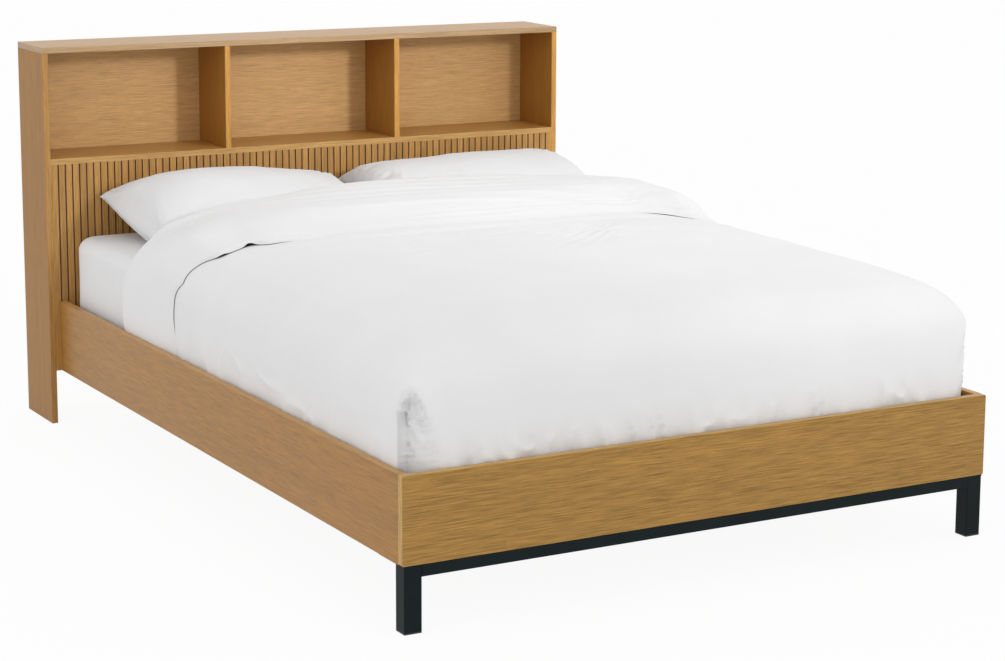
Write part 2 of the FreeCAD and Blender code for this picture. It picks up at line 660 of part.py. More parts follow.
def make_centre_support():
    """The centre beam, its two steel hangers and the post under its middle."""
    gauge = "Sizes.hanger_gauge"
    pieces = [finish_holes("centre_beam", block(
        "centre_beam", ("-Sizes.beam_width / 2", f"Layout.foot_inner + {gauge}", "Layout.beam_under"),
        ("Sizes.beam_width", f"Layout.inner_length - 2 * {gauge}", "Sizes.beam_height")))]
    pieces.append(finish_holes("centre_post", block(
        "centre_post",
        ("-Sizes.post_size / 2", "Layout.foot_inner + Layout.inner_length / 2 - Sizes.post_size / 2",
         "Sizes.glide_height"),
        ("Sizes.post_size", "Sizes.post_size", "Layout.beam_under - Sizes.glide_height"))))
    for label, plate_y, cradle_y in (
            ("beam_hanger_head", f"Layout.head_face - {gauge}", "Layout.head_face - Sizes.hanger_reach"),
            ("beam_hanger_foot", "Layout.foot_inner", "Layout.foot_inner")):
        half = f"(Sizes.beam_width / 2 + {gauge})"
        plate = block(label + "_plate",
                      (f"-{half} - Sizes.hanger_flange", plate_y, f"Layout.beam_under - {gauge}"),
                      (f"2 * ({half} + Sizes.hanger_flange)", gauge, f"Sizes.beam_height + {gauge}"))
        floor = block(label + "_floor", (f"-{half}", cradle_y, f"Layout.beam_under - {gauge}"),
                      (f"2 * {half}", "Sizes.hanger_reach", gauge))
        cheeks = [block(label + "_cheek_" + side,
                        (signed(sign, "Sizes.beam_width / 2", gauge), cradle_y, f"Layout.beam_under - {gauge}"),
                        (gauge, "Sizes.hanger_reach", f"Sizes.hanger_cheek + {gauge}"))
                  for side, sign in SIDES]
        pieces.append(finish_holes(label, fused(label, [plate, floor] + cheeks)))
    return pieces


# ---------------------------------------------------------------- black metal base
def make_tube(label, plane, outer, length, corner):
    """A square steel tube with rounded outer corners, open at both ends."""
    body = doc.addObject("PartDesign::Body", "Tube")
    body.Label = label
    outline = rectangle(body, "TubeOutline", plane, "0", "0", outer, outer)
    pad = body.newObject("PartDesign::Pad", "TubePad")
    pad.Profile = outline
    bind(pad, Length=length)
    doc.recompute()
    direction = X_AXIS if plane == "YZ_Plane" else Z_AXIS
    long_edges = [f"Edge{index}" for index, edge in enumerate(pad.Shape.Edges, start=1)
                  if runs_along(direction)(edge)]
    rounding = body.newObject("PartDesign::Fillet", "TubeRound")
    rounding.Base = (pad, long_edges)
    bind(rounding, Radius="Sizes.leg_round")
    doc.recompute()
    hollow = rectangle(body, "TubeHollow", plane, "Sizes.leg_wall", "Sizes.leg_wall",
                       f"{outer} - 2 * Sizes.leg_wall", f"{outer} - 2 * Sizes.leg_wall")
    doc.recompute()
    pocket = body.newObject("PartDesign::Pocket", "TubePocket")
    pocket.Profile = hollow
    pocket.Type = "ThroughAll"
    pocket.Reversed = True
    place(body, corner)
    doc.recompute()
    assert pocket.Shape.Volume < rounding.Shape.Volume, "the tube isn't hollow"
    return finish_holes(label, body)


def make_base():
    """Two legs with end caps and top plates, and the crossbar between them."""
    pieces = []
    leg = "Sizes.leg_size"
    for side, sign in SIDES:
        low_x = signed(sign, "Layout.leg_inner", leg)
        pieces.append(make_tube(f"foot_leg_{side}", "XY_Plane", leg, "Layout.leg_top - Sizes.cap_flange",
                                (low_x, "Layout.foot_front", "Sizes.cap_flange")))
        pieces.append(finish_holes(f"leg_plate_{side}", block(
            f"leg_plate_{side}", (low_x, "Layout.foot_front", "Layout.leg_top"),
            (leg, "Sizes.leg_plate_length", "Sizes.leg_plate_gauge"))))
        pieces.append(make_cap(side, low_x))
    pieces.append(make_tube("foot_crossbar", "YZ_Plane", "Sizes.crossbar_size", "2 * Layout.leg_inner",
                            ("-Layout.leg_inner", "Layout.foot_front",
                             "Layout.rail_under - Sizes.crossbar_size")))
    return pieces


def make_cap(side, low_x):
    """A plastic end cap: a square foot with rounded corners and a plug inside the tube."""
    label = f"leg_cap_{side}"
    foot = block(label + "_foot_blank", (low_x, "Layout.foot_front", "0"),
                 ("Sizes.leg_size", "Sizes.leg_size", "Sizes.cap_flange"))
    rounded_foot = eased(label + "_foot", foot, size("leg_round"), runs_along(Z_AXIS))
    inset = "(Sizes.leg_wall + Sizes.cap_clearance)"
    plug = block(label + "_plug", (f"{low_x} + {inset}", f"Layout.foot_front + {inset}", "0"),
                 (f"Sizes.leg_size - 2 * {inset}", f"Sizes.leg_size - 2 * {inset}",
                  "Sizes.cap_flange + Sizes.cap_plug"))
    return finish_holes(label, fused(label, (rounded_foot, plug)))


# ---------------------------------------------------------------- mattress and bedding
def feature(label, shape):
    """A node whose form is worked out here."""
    node = doc.addObject("Part::Feature", "Form")
    node.Label = label
    node.Shape = shape
    return node


def mattress_plan(grow, low, height):
    """A prism with the mattress's outline in plan, grown all round."""
    width = size("mattress_width") + 2 * grow
    length = size("mattress_length") + 2 * grow
    head = size("head_face") - size("mattress_head_gap") - size("sheet_thickness") + grow
    prism = Part.makeBox(width, length, height, Vector(-width / 2, head - length, low))
    upright = [edge for edge in prism.Edges if runs_along(Z_AXIS)(edge)]
    return prism.makeFillet(size("mattress_corner") + grow, upright)


def rounded_slab(grow):
    """The mattress's own shape, grown all round."""
    slab = mattress_plan(grow, size("mattress_under") - grow, size("mattress_height") + 2 * grow)
    rims = [edge for edge in slab.Edges if not runs_along(Z_AXIS)(edge)]
    return slab.makeFillet(size("mattress_edge") + grow, rims)


def make_mattress():
    """A plain mattress with rounded corners and edges."""
    return feature("mattress", rounded_slab(0))


def make_fitted_sheet():
    """A thin cover all round the mattress, open under its middle."""
    mattress = rounded_slab(0)
    box = mattress.BoundBox
    turn = size("sheet_turn_under")
    mouth = Part.makeBox(box.XLength - 2 * turn, box.YLength - 2 * turn, box.ZLength / 2,
                         Vector(box.XMin + turn, box.YMin + turn, box.ZMin - box.ZLength / 4))
    return feature("fitted_sheet", rounded_slab(size("sheet_thickness")).cut(mattress).cut(mouth))


def lens(across, half_depth, crown, belly):
    """A pillow's cross-section: two arcs that meet in the seams."""
    front = Vector(across, -half_depth, 0)
    back = Vector(across, half_depth, 0)
    over = Part.Arc(front, Vector(across, 0, crown), back).toShape()
    under = Part.Arc(back, Vector(across, 0, -belly), front).toShape()
    return Part.Wire([over, under])


def make_pillow(side, sign):
    """A crowned pillow with drawn-in long sides, flat where it rests and blunt where it meets the other."""
    half = size("pillow_width") / 2
    tips = size("pillow_depth") / 2
    sections = []
    for share in (-1, -0.93, -0.78, -0.5, 0, 0.5, 0.78, 0.93, 1):
        swell = (1 - abs(share) ** 3) ** 0.6
        if share * sign < 0:
            swell = size("pillow_press") + (1 - size("pillow_press")) * swell
        thin = size("pillow_tip")
        sections.append(lens(share * half, tips - size("pillow_waist") * swell,
                             thin + (size("pillow_crown") - thin) * swell,
                             thin + (size("pillow_belly") - thin) * swell))
    shape = Part.makeLoft(sections, True, False)
    tilt = size("pillow_tilt")
    shape.rotate(Vector(0, 0, 0), X_AXIS, tilt)
    middle = Vector(size("pillow_shift") + sign * (size("pillow_width") + size("pillow_gap")) / 2,
                    size("head_face") - size("pillow_back_gap") - tips * math.cos(math.radians(tilt)),
                    size("bedding_top") + size("pillow_rise"))
    shape.translate(middle)
    # the room over the sheet, as wide as the mattress under the duvet's rolled edge and free behind it
    wide = size("headboard_width")
    back = size("head_face") - size("rest_gap")
    nose = size("head_face") - size("fold_start") + size("rest_gap")
    under = size("mattress_width") / 2
    plan = [(-wide, nose), (-under, nose), (-under, nose - size("pillow_depth")),
            (under, nose - size("pillow_depth")), (under, nose), (wide, nose), (wide, back), (-wide, back)]
    corners = [Vector(x, y, size("bedding_top") + size("rest_gap")) for x, y in plan]
    room = Part.Face(Part.makePolygon(corners + corners[:1])).extrude(Z_AXIS * size("pillow_depth"))
    return feature(f"pillow_{side}", shape.common(room).Solids[0])


def duvet_section(along, narrower, lower):
    """The duvet's outline across the bed, drawn in at the sides and let down at the top."""
    half = size("rail_inner") - size("duvet_rail_gap") - narrower
    radius = size("duvet_shoulder")
    hem = size("rail_top") - size("duvet_tuck")
    top = size("bedding_top") + size("duvet_height") + size("fold_height") - lower
    turn = top - radius
    slant = radius * math.sqrt(0.5)

    def at(x, z):
        return Vector(x, along, z)

    left = Part.LineSegment(at(-half, hem), at(-half, turn)).toShape()
    left_shoulder = Part.Arc(at(-half, turn), at(-half + radius - slant, turn + slant),
                             at(-half + radius, top)).toShape()
    crown = Part.Arc(at(-half + radius, top), at(0, top + size("duvet_crown")), at(half - radius, top)).toShape()
    right_shoulder = Part.Arc(at(half - radius, top), at(half - radius + slant, turn + slant),
                              at(half, turn)).toShape()
    right = Part.LineSegment(at(half, turn), at(half, hem)).toShape()
    under = Part.LineSegment(at(half, hem), at(-half, hem)).toShape()
    return Part.Wire([left, left_shoulder, crown, right_shoulder, right, under])


def make_duvet():
    """The duvet over the mattress: folded back at the head, tucked inside the rails and the footboard."""
    face = size("head_face")
    fold = size("fold_height")
    nose = face - size("fold_start")
    hem = nose - size("fold_width")
    foot = size("foot_inner") + size("duvet_rail_gap")
    drop = size("foot_drop")
    # distance along the bed, how much narrower and how much lower than the folded band
    outline = (
        (nose, 5, 26), (nose - 12, 2, 12), (nose - 35, 0.5, 3), (nose - 80, 0, 0),
        (hem + 45, 0, 0), (hem + 15, 0.5, 0.2 * fold), (hem, 2, 0.7 * fold), (hem - 25, 2, fold),
        (foot + 110, 2, fold), (foot + 60, 3, fold + 0.12 * drop), (foot + 25, 10, fold + 0.36 * drop),
        (foot + 7, 24, fold + 0.68 * drop), (foot, 40, fold + drop),
    )
    outer = Part.makeLoft([duvet_section(*station) for station in outline], True, True)
    room = size("sheet_thickness") + size("rest_gap")
    half_height = size("mattress_height") / 2
    below = mattress_plan(room, size("mattress_under") - half_height, 2 * half_height)
    cavity = rounded_slab(room).fuse(below)
    top = size("bedding_top")
    pair = size("pillow_width") + size("pillow_gap") / 2
    left_end = max(size("pillow_shift") - pair - 4, -size("mattress_width") / 2)
    right_end = min(size("pillow_shift") + pair + 4, size("mattress_width") / 2)
    slope = ((60, -50), (60, 45), (0, 45), (-55, 28), (-120, 0), (-120, -50))
    rim = [Vector(left_end, nose + y, top + z) for y, z in slope]
    wedge = Part.Face(Part.makePolygon(rim + rim[:1])).extrude(X_AXIS * (right_end - left_end))
    shape = outer.cut(cavity).cut(wedge)
    return feature("duvet", max(shape.Solids, key=lambda solid: solid.Volume))


# ---------------------------------------------------------------- build, check and write
nodes = make_headboard() + make_frame() + [make_slat(number) for number in SLAT_NUMBERS]
nodes += make_centre_support() + make_base()
nodes += [feature(label, Part.makeCompound(solids)) for label, solids in groups.items()]
nodes += [make_mattress(), make_fitted_sheet(), make_duvet()]
nodes += [make_pillow(side, sign) for side, sign in SIDES]
doc.recompute()

for thing in doc.Objects:
    if {"Invalid", "Error"} & set(thing.State):
        raise RuntimeError(f"{thing.Label} failed: {thing.State}")
labels = [node.Label for node in nodes]
assert len(labels) == len(set(labels)) and len(labels) <= 60, "labels must differ and number 60 at most"
for node in nodes:
    shape = node.Shape
    if shape.isNull() or not shape.isValid() or not shape.Solids:
        raise RuntimeError(f"{node.Label} has no valid shape")
    shape.exportStep(f"parts/{node.Label}.step")
print(f"{len(nodes)} nodes, {sum(len(node.Shape.Solids) for node in nodes)} solids")
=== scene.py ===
# %% [markdown]
# # A bookcase headboard bed, made up with white bedding
#
# The bed's boards, legs and fasteners come from the CAD model and keep their shapes. This file gives
# them their finishes, and makes the soft pieces - mattress, fitted sheet, pillows and duvet - which a
# CAD solid can't show well. All lengths are metres, +Y runs from the foot to the headboard, and the
# floor is at height zero.

# %% Load the bed
import itertools
import math

import bmesh
import bpy
import numpy as np
from mathutils import Matrix, Vector


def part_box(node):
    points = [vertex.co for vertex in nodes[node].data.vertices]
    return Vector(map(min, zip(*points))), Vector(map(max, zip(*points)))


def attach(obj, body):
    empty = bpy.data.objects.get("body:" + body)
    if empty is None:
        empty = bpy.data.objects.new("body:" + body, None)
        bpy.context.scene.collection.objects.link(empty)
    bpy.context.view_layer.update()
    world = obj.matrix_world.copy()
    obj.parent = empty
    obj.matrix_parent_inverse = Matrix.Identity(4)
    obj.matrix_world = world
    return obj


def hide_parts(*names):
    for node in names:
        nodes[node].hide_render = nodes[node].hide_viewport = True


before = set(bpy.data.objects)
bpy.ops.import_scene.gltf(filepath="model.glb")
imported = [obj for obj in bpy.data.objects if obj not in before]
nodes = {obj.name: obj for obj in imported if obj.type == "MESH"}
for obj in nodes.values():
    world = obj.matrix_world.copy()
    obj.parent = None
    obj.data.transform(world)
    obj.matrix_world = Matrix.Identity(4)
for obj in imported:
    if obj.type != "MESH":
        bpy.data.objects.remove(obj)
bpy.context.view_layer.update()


def in_scene(name, data):
    """A new object in the scene, for a mesh, a camera or a lamp."""
    made = bpy.data.objects.new(name, data)
    bpy.context.scene.collection.objects.link(made)
    return made


# %% [markdown]
# ## Camera
#
# The photograph looks at the bed from its left foot corner, a little from above, through a long lens.
# A camera can be aimed with a constraint or by rotation angles. Here three plain directions are built
# from the turn, the tilt and a slight roll, because they can be read off as angles. The lens is also
# shifted a little, as on a view camera, since the picture's middle isn't where the lens points.

# %% Camera at the photograph's place
PICTURE_WIDTH, LENS_PIXELS = 1005, 2541.1   # width of the picture, and the lens's distance in its pixels
eye = Vector((-2.7882, -5.2200, 1.5776))
turn, tilt, roll = 0.5437, 0.1838, 0.0113
forward = Vector((math.sin(turn) * math.cos(tilt), math.cos(turn) * math.cos(tilt), -math.sin(tilt)))
level = forward.cross(Vector((0, 0, 1))).normalized()
upright = level.cross(forward)
right = level * math.cos(roll) + upright * math.sin(roll)
up = upright * math.cos(roll) - level * math.sin(roll)

lens = bpy.data.cameras.new("camera")
lens.sensor_fit = "HORIZONTAL"
lens.lens = lens.sensor_width * LENS_PIXELS / PICTURE_WIDTH
lens.shift_x = -100 / PICTURE_WIDTH
lens.shift_y = -60 / PICTURE_WIDTH
lens.clip_end = 200
camera = in_scene("camera", lens)
camera.matrix_world = Matrix.Translation(eye) @ Matrix((right, up, -forward)).transposed().to_4x4()
bpy.context.scene.camera = camera
bpy.context.scene.view_settings.view_transform = "Standard"
print("lens", round(lens.lens, 1), "mm")

# %% [markdown]
# ## Building materials from nodes
#
# Every finish here is a small tree of nodes. Writing the trees by hand is long, so two helpers place a
# node and set or connect its inputs, and make a ramp of colours. Colours are written as the eye reads
# them on screen, from 0 to 255, and turned into the linear values that Blender mixes.


# %% Node helpers
def put(tree, kind, inputs=None, **settings):
    """A new node with its settings made and its inputs set, or joined to other nodes' outputs."""
    made = tree.nodes.new("ShaderNode" + kind)
    for key, value in settings.items():
        setattr(made, key, value)
    for key, value in (inputs or {}).items():
        if isinstance(value, bpy.types.NodeSocket):
            tree.links.new(value, made.inputs[key])
        else:
            made.inputs[key].default_value = value
    return made


def paint(*screen):
    """A linear colour from its screen values."""
    linear = [v / 255 / 12.92 if v <= 10 else ((v / 255 + 0.055) / 1.055) ** 2.4 for v in screen]
    return (*linear, 1.0)


def ramp(tree, value, *stops):
    """A colour for each level of a value, blended in between."""
    made = put(tree, "ValToRGB", {"Fac": value})
    elements = made.color_ramp.elements
    for number, (level_at, colour) in enumerate(stops):
        spot = elements[number] if number < 2 else elements.new(level_at)
        spot.position = level_at
        spot.color = colour
    return made.outputs["Color"]


def reckon(tree, operation, first, second=0.0, third=0.0):
    """The result of a sum on values or node outputs."""
    return put(tree, "Math", {0: first, 1: second, 2: third}, operation=operation).outputs[0]


def blend_colours(tree, share, first, second, mode="MIX"):
    """Two colours mixed by a share of the second."""
    return put(tree, "Mix", {"Factor": share, "A": first, "B": second},
               data_type="RGBA", blend_type=mode).outputs[2]


def new_material(name):
    """A material with a bare tree, and the place of each point of the surface in metres."""
    material = bpy.data.materials.new(name)
    material.use_nodes = True
    material.node_tree.nodes.clear()
    return material, material.node_tree, put(material.node_tree, "TexCoord").outputs["Object"]


def finish_material(tree, colour, roughness, height=None, depth=0.0, **sockets):
    """The surface shader, with relief where a height is given."""
    inputs = {"Base Color": colour, "Roughness": roughness}
    inputs.update({key.replace("_", " "): value for key, value in sockets.items()})
    shader = put(tree, "BsdfPrincipled", inputs)
    if height is not None:
        relief = put(tree, "Bump", {"Height": height, "Distance": depth, "Strength": 1.0})
        tree.links.new(relief.outputs["Normal"], shader.inputs["Normal"])
    end = put(tree, "OutputMaterial")
    tree.links.new(shader.outputs[0], end.inputs["Surface"])


def noise_at(tree, place, scale, detail=2.0, roughness=0.5):
    """Cloudy noise at a place."""
    settings = {"Vector": place, "Scale": scale, "Detail": detail, "Roughness": roughness}
    return put(tree, "TexNoise", settings).outputs["Fac"]


def dress(material, *names):
    """Give CAD pieces a material."""
    for name in names:
        slots = nodes[name].data.materials
        slots.clear()
        slots.append(material)


# %% [markdown]
# ## Studio
#
# The floor is a big white plane, and the white world lights the bed evenly from all round, as a studio
# with white walls does. A low gridded softbox in front, a little to the right, throws the soft shadows
# inside the bookcase, a weak one beside it lights the foot, and a broad lamp fills the left side. Light
# Path lets the floor and the world look white to the camera and in reflections.


# %% Floor, world and lamps
def seen_directly(tree):
    """1 for rays from the camera, mirrors and glass, otherwise 0."""
    path = put(tree, "LightPath").outputs
    mirrored = reckon(tree, "MAXIMUM", path["Is Glossy Ray"], path["Is Transmission Ray"])
    return reckon(tree, "MAXIMUM", path["Is Camera Ray"], mirrored)


def white_floor():
    """A floor that is white with a faint shadow: mostly glow, and a share of matt that takes the shadow."""
    glow_share, reach = 0.93, 40
    mesh = bpy.data.meshes.new("floor")
    mesh.from_pydata([(-reach, -reach, 0), (reach, -reach, 0), (reach, reach, 0), (-reach, reach, 0)],
                     [], [(0, 1, 2, 3)])
    floor = in_scene("floor", mesh)
    floor.location.z = -0.0005
    material, tree, _ = new_material("floor_white")
    matt = put(tree, "BsdfDiffuse", {"Color": (0.90, 0.90, 0.90, 1)}).outputs[0]
    glow = put(tree, "Emission", {"Color": (1, 1, 1, 1), "Strength": 1.0}).outputs[0]
    share = reckon(tree, "MULTIPLY", seen_directly(tree), glow_share)
    mixed = put(tree, "MixShader", {"Fac": share, 1: matt, 2: glow}).outputs[0]
    put(tree, "OutputMaterial", {"Surface": mixed})
    mesh.materials.append(material)


def area_lamp(name, place, aim, size, watts, spread=180):
    """A square soft lamp at a place, turned to its aim; a small spread is a softbox with a grid."""
    data = bpy.data.lights.new(name, "AREA")
    data.shape = "SQUARE"
    data.size = size
    data.energy = watts
    data.spread = math.radians(spread)
    lamp = in_scene(name, data)
    lamp.location = place
    lamp.rotation_euler = (Vector(aim) - Vector(place)).to_track_quat("-Z", "Y").to_euler()


white_floor()
world = bpy.data.worlds.new("studio")
bpy.context.scene.world = world
world.use_nodes = True
world.node_tree.nodes.clear()
shown = put(world.node_tree, "MapRange", {"Value": seen_directly(world.node_tree),
                                          "To Min": 0.92, "To Max": 1.0}).outputs[0]
sky = put(world.node_tree, "Background", {"Color": (1, 1, 1, 1), "Strength": shown}).outputs[0]
put(world.node_tree, "OutputWorld", {"Surface": sky})
area_lamp("key", place=(1.75, -4.5, 2.35), aim=(0.0, 1.0, 0.82), size=0.5, watts=3.2, spread=30)
area_lamp("front", place=(1.5, -4.55, 2.5), aim=(-0.3, 1.0, 0.9), size=0.9, watts=9)
area_lamp("fill", place=(-5.0, -2.5, 2.6), aim=(0.0, 0.2, 0.4), size=3.0, watts=9)
print("studio ready")

# %% [markdown]
# ## Oak veneer
#
# The boards wear a light oak veneer: long pale and brown bands, finer streaks along them, and short dark
# pores. A photograph of veneer could be wrapped round the boards, but noise stretched along the grain
# gives the same look at any size. Each board gets its own material, so the grain follows its length and
# never repeats on its neighbour. The boards' tones also carry painted light and shade: boards seen on
# their shaded faces are painted darker, the back panel lighter, and the narrow faces wear a painted
# sheen, and the grooves of the panel a painted shade.


# %% Oak
PANEL_HALF = 0.72
FLUTE_PITCH = 2 * PANEL_HALF / 78
HEADBOARD_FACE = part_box("headboard_grooved_panel")[0].y
EDGE_SHEEN_TINT = (1.0, 1.12, 1.55)   # painted sheen: narrow faces are painted paler and less yellow than the broad faces


def flute_tones_and_groove_shade(tree, place, colour):
    """Slight tone changes from flute to flute, and painted shade in the grooves between them."""
    spot = put(tree, "SeparateXYZ", {"Vector": place}).outputs
    flute = reckon(tree, "FLOOR", reckon(tree, "DIVIDE", reckon(tree, "ADD", spot["X"], PANEL_HALF), FLUTE_PITCH))
    odd = put(tree, "TexWhiteNoise", {"W": flute}, noise_dimensions="1D").outputs["Value"]
    tone = ramp(tree, odd, (0.0, (0.88, 0.87, 0.86, 1)), (1.0, (1.08, 1.07, 1.06, 1)))
    varied = blend_colours(tree, 1.0, colour, tone, "MULTIPLY")
    # painted shade: the grooves, deeper than the flutes' faces, are painted dark brown
    inside = reckon(tree, "GREATER_THAN", spot["Y"], HEADBOARD_FACE + 0.0007)
    outer = reckon(tree, "LESS_THAN", spot["Y"], HEADBOARD_FACE + 0.0040)
    painted_groove_shade = reckon(tree, "MULTIPLY", inside, outer)
    return blend_colours(tree, painted_groove_shade, varied, paint(96, 62, 52))


def toned(colour, share):
    """A colour made lighter or darker."""
    return tuple(min(1.0, value * share) for value in colour[:3]) + (1.0,)


def oak(name, seed, grain, broad, tone, figure, edge, gloss):
    """Oak veneer with its grain along one axis and its broad faces across another (0 is X, 1 Y, 2 Z).

    Figure is how strong the grain shows, edge how strongly the narrow faces are painted paler, a painted sheen.
    """
    material, tree, place = new_material(name)
    normal = put(tree, "SeparateXYZ", {"Vector": put(tree, "NewGeometry").outputs["Normal"]}).outputs
    end_face = reckon(tree, "GREATER_THAN", reckon(tree, "ABSOLUTE", normal["X"]), 0.7)

    def along_grain(along, across):
        shift = (seed * 7.31, seed * 3.17, seed * 5.71)
        made = []
        for axis in (grain, 1 if name == "oak_headboard_top" else 2):
            scale = [across] * 3
            scale[axis] = along
            made.append(put(tree, "Mapping", {"Vector": place, "Location": shift, "Scale": scale}).outputs[0])
        if grain != 0:
            return made[0]
        return put(tree, "Mix", {"Factor": end_face, 4: made[0], 5: made[1]}, data_type="VECTOR").outputs[1]

    bands = noise_at(tree, along_grain(1.4, 45), 1.0, 3)
    streaks = noise_at(tree, along_grain(13, 370), 1.0, 4, 0.60)
    pores = noise_at(tree, along_grain(45, 800), 1.0, 2)
    mixed = reckon(tree, "ADD", reckon(tree, "MULTIPLY", bands, 0.18), reckon(tree, "MULTIPLY", streaks, 0.82))
    deep, pale = toned(tone, 1 - 0.24 * figure), toned(tone, 1 + 0.24 * figure)
    colour = ramp(tree, mixed, (0.34, deep), (0.68, pale), (0.5, tone))
    dark = put(tree, "MapRange", {"Value": pores, "From Min": 0.56, "From Max": 0.70, "To Max": 0.34}).outputs[0]
    colour = blend_colours(tree, dark, colour, toned(tone, 0.45))
    # painted sheen: the narrow faces are painted paler and whiter than the broad faces, by the edge factor
    if edge != 1.0:
        narrow = reckon(tree, "LESS_THAN", reckon(tree, "ABSOLUTE", normal["XYZ"[broad]]), 0.7)
        painted_sheen = blend_colours(tree, 1.0, colour, (*(edge * tint for tint in EDGE_SHEEN_TINT), 1), "MULTIPLY")
        colour = blend_colours(tree, narrow, colour, painted_sheen)
    if name == "oak_headboard_grooved_panel":
        colour = flute_tones_and_groove_shade(tree, place, colour)
    height = reckon(tree, "SUBTRACT", streaks, reckon(tree, "MULTIPLY", dark, 1.2))
    rough = put(tree, "MapRange", {"Value": streaks, "From Min": 0.3, "From Max": 0.7,
                                   "To Min": 0.34, "To Max": 0.44}).outputs[0]
    finish_material(tree, colour, rough, height, 0.00015, Specular_IOR_Level=gloss)
    return material


# painted light and shade: one oak, toned per board by how light falls on the faces seen; the dividers and
# the right side, seen on their shaded faces, are painted darker and deeper, the back panel lighter
PLAIN_OAK, SIDE_OAK, SHADE_PAINTED_OAK = paint(180, 136, 76), paint(166, 119, 58), paint(164, 113, 46)
OAK_BOARDS = {   # grain, broad axis, tone, figure, edge, gloss
    "headboard_top": (0, 2, PLAIN_OAK, 1.0, 0.9, 0.75),
    "headboard_shelf": (0, 2, paint(186, 138, 71), 1.0, 1.05, 0.25),
    "headboard_back_panel": (0, 1, paint(202, 160, 104), 0.85, 1.0, 0.25),
    "footboard": (0, 1, paint(165, 125, 62), 1.6, 1.4, 0.25),
    "side_rail_left": (1, 0, SIDE_OAK, 1.1, 1.3, 0.25),
    "side_rail_right": (1, 0, SIDE_OAK, 1.1, 1.3, 0.25),
    "headboard_side_left": (2, 0, paint(160, 114, 55), 1.0, 1.25, 0.12),
    "headboard_side_right": (2, 0, SHADE_PAINTED_OAK, 1.0, 1.6, 0.25),
    "headboard_divider_left": (2, 0, SHADE_PAINTED_OAK, 1.0, 1.55, 0.25),
    "headboard_divider_right": (2, 0, SHADE_PAINTED_OAK, 1.0, 1.55, 0.25),
    "headboard_grooved_panel": (2, 1, PLAIN_OAK, 1.0, 1.0, 0.25),
}
for number, (board, look) in enumerate(OAK_BOARDS.items()):
    dress(oak("oak_" + board, number + 1, *look), board)
print("oak on", len(OAK_BOARDS), "boards")

# %% [markdown]
# ## Hidden timber, metal and plastic
#
# Under the bedding are planed pine slats and battens, beech dowels, zinc-plated fasteners and brackets,
# and the black metal legs with their plastic caps. The same stretched noise makes the pine, in paler
# colours. The powder coat on the legs is nearly black with a hint of green, and its orange-peel texture
# is a very shallow bump.


# %% Pine, steel and plastic
def planed_wood(name, grain, pale, deep):
    """Plain timber with soft straight grain."""
    material, tree, place = new_material(name)
    scale = [90.0] * 3
    scale[grain] = 3.0
    stretched = put(tree, "Mapping", {"Vector": place, "Scale": scale}).outputs[0]
    rings = noise_at(tree, stretched, 1.0, 4, 0.6)
    fibres = noise_at(tree, stretched, 7.0, 2)
    colour = ramp(tree, reckon(tree, "MULTIPLY_ADD", fibres, 0.3, rings), (0.45, deep), (0.85, pale))
    finish_material(tree, colour, 0.62, fibres, 0.0002)
    return material


def powder_coat():
    """Satin black paint baked on steel."""
    material, tree, place = new_material("black_powder_coat")
    peel = noise_at(tree, place, 900, 2)
    cloud = noise_at(tree, place, 14, 3)
    colour = ramp(tree, cloud, (0.3, paint(12, 23, 24)), (0.7, paint(17, 29, 30)))
    rough = put(tree, "MapRange", {"Value": cloud, "To Min": 0.42, "To Max": 0.52}).outputs[0]
    finish_material(tree, colour, rough, peel, 0.00006, Specular_IOR_Level=0.12)
    return material


def zinc_plate():
    """Bright zinc with its faint spangle."""
    material, tree, place = new_material("zinc_plate")
    spangle = put(tree, "TexVoronoi", {"Vector": place, "Scale": 160}).outputs["Color"]
    grey = put(tree, "SeparateColor", {"Color": spangle}).outputs[0]
    colour = ramp(tree, grey, (0.0, (0.52, 0.53, 0.54, 1)), (1.0, (0.66, 0.66, 0.65, 1)))
    rough = put(tree, "MapRange", {"Value": grey, "To Min": 0.24, "To Max": 0.38}).outputs[0]
    finish_material(tree, colour, rough, grey, 0.00003, Metallic=1.0)
    return material


def moulded_plastic():
    """Matt black plastic with a fine spark-eroded texture."""
    material, tree, place = new_material("moulded_plastic")
    grain = noise_at(tree, place, 1400, 2)
    colour = ramp(tree, grain, (0.3, paint(32, 33, 34)), (0.7, paint(44, 45, 46)))
    finish_material(tree, colour, 0.55, grain, 0.00005)
    return material


pine_pale, pine_deep = paint(229, 201, 158), paint(196, 158, 108)
pine_by_grain = [planed_wood("pine_" + "xyz"[axis], axis, pine_pale, pine_deep) for axis in range(3)]
slats = [name for name in nodes if name.startswith("slat_") and "ledger" not in name]
dress(pine_by_grain[0], "headboard_bolt_rail", "headboard_stretcher", *slats)
dress(pine_by_grain[1], "slat_ledger_left", "slat_ledger_right", "centre_beam",
      "corner_block_left", "corner_block_right")
dress(pine_by_grain[2], "headboard_cleat_left", "headboard_cleat_right", "centre_post")
dress(planed_wood("beech", 2, paint(222, 184, 140), paint(203, 160, 114)), "wood_dowels")
dress(powder_coat(), "foot_leg_left", "foot_leg_right", "foot_crossbar", "leg_plate_left", "leg_plate_right")
dress(zinc_plate(), "corner_bracket_left", "corner_bracket_right", "beam_hanger_head", "beam_hanger_foot",
      "headboard_cams", "headboard_cam_bolts", "short_screws", "long_screws", "rail_bolts", "rail_nuts",
      "leg_plate_bolts", "centre_post_stud")
dress(moulded_plastic(), "leg_cap_left", "leg_cap_right", "centre_post_glide")
print("hidden pieces dressed,", len(slats), "slats")
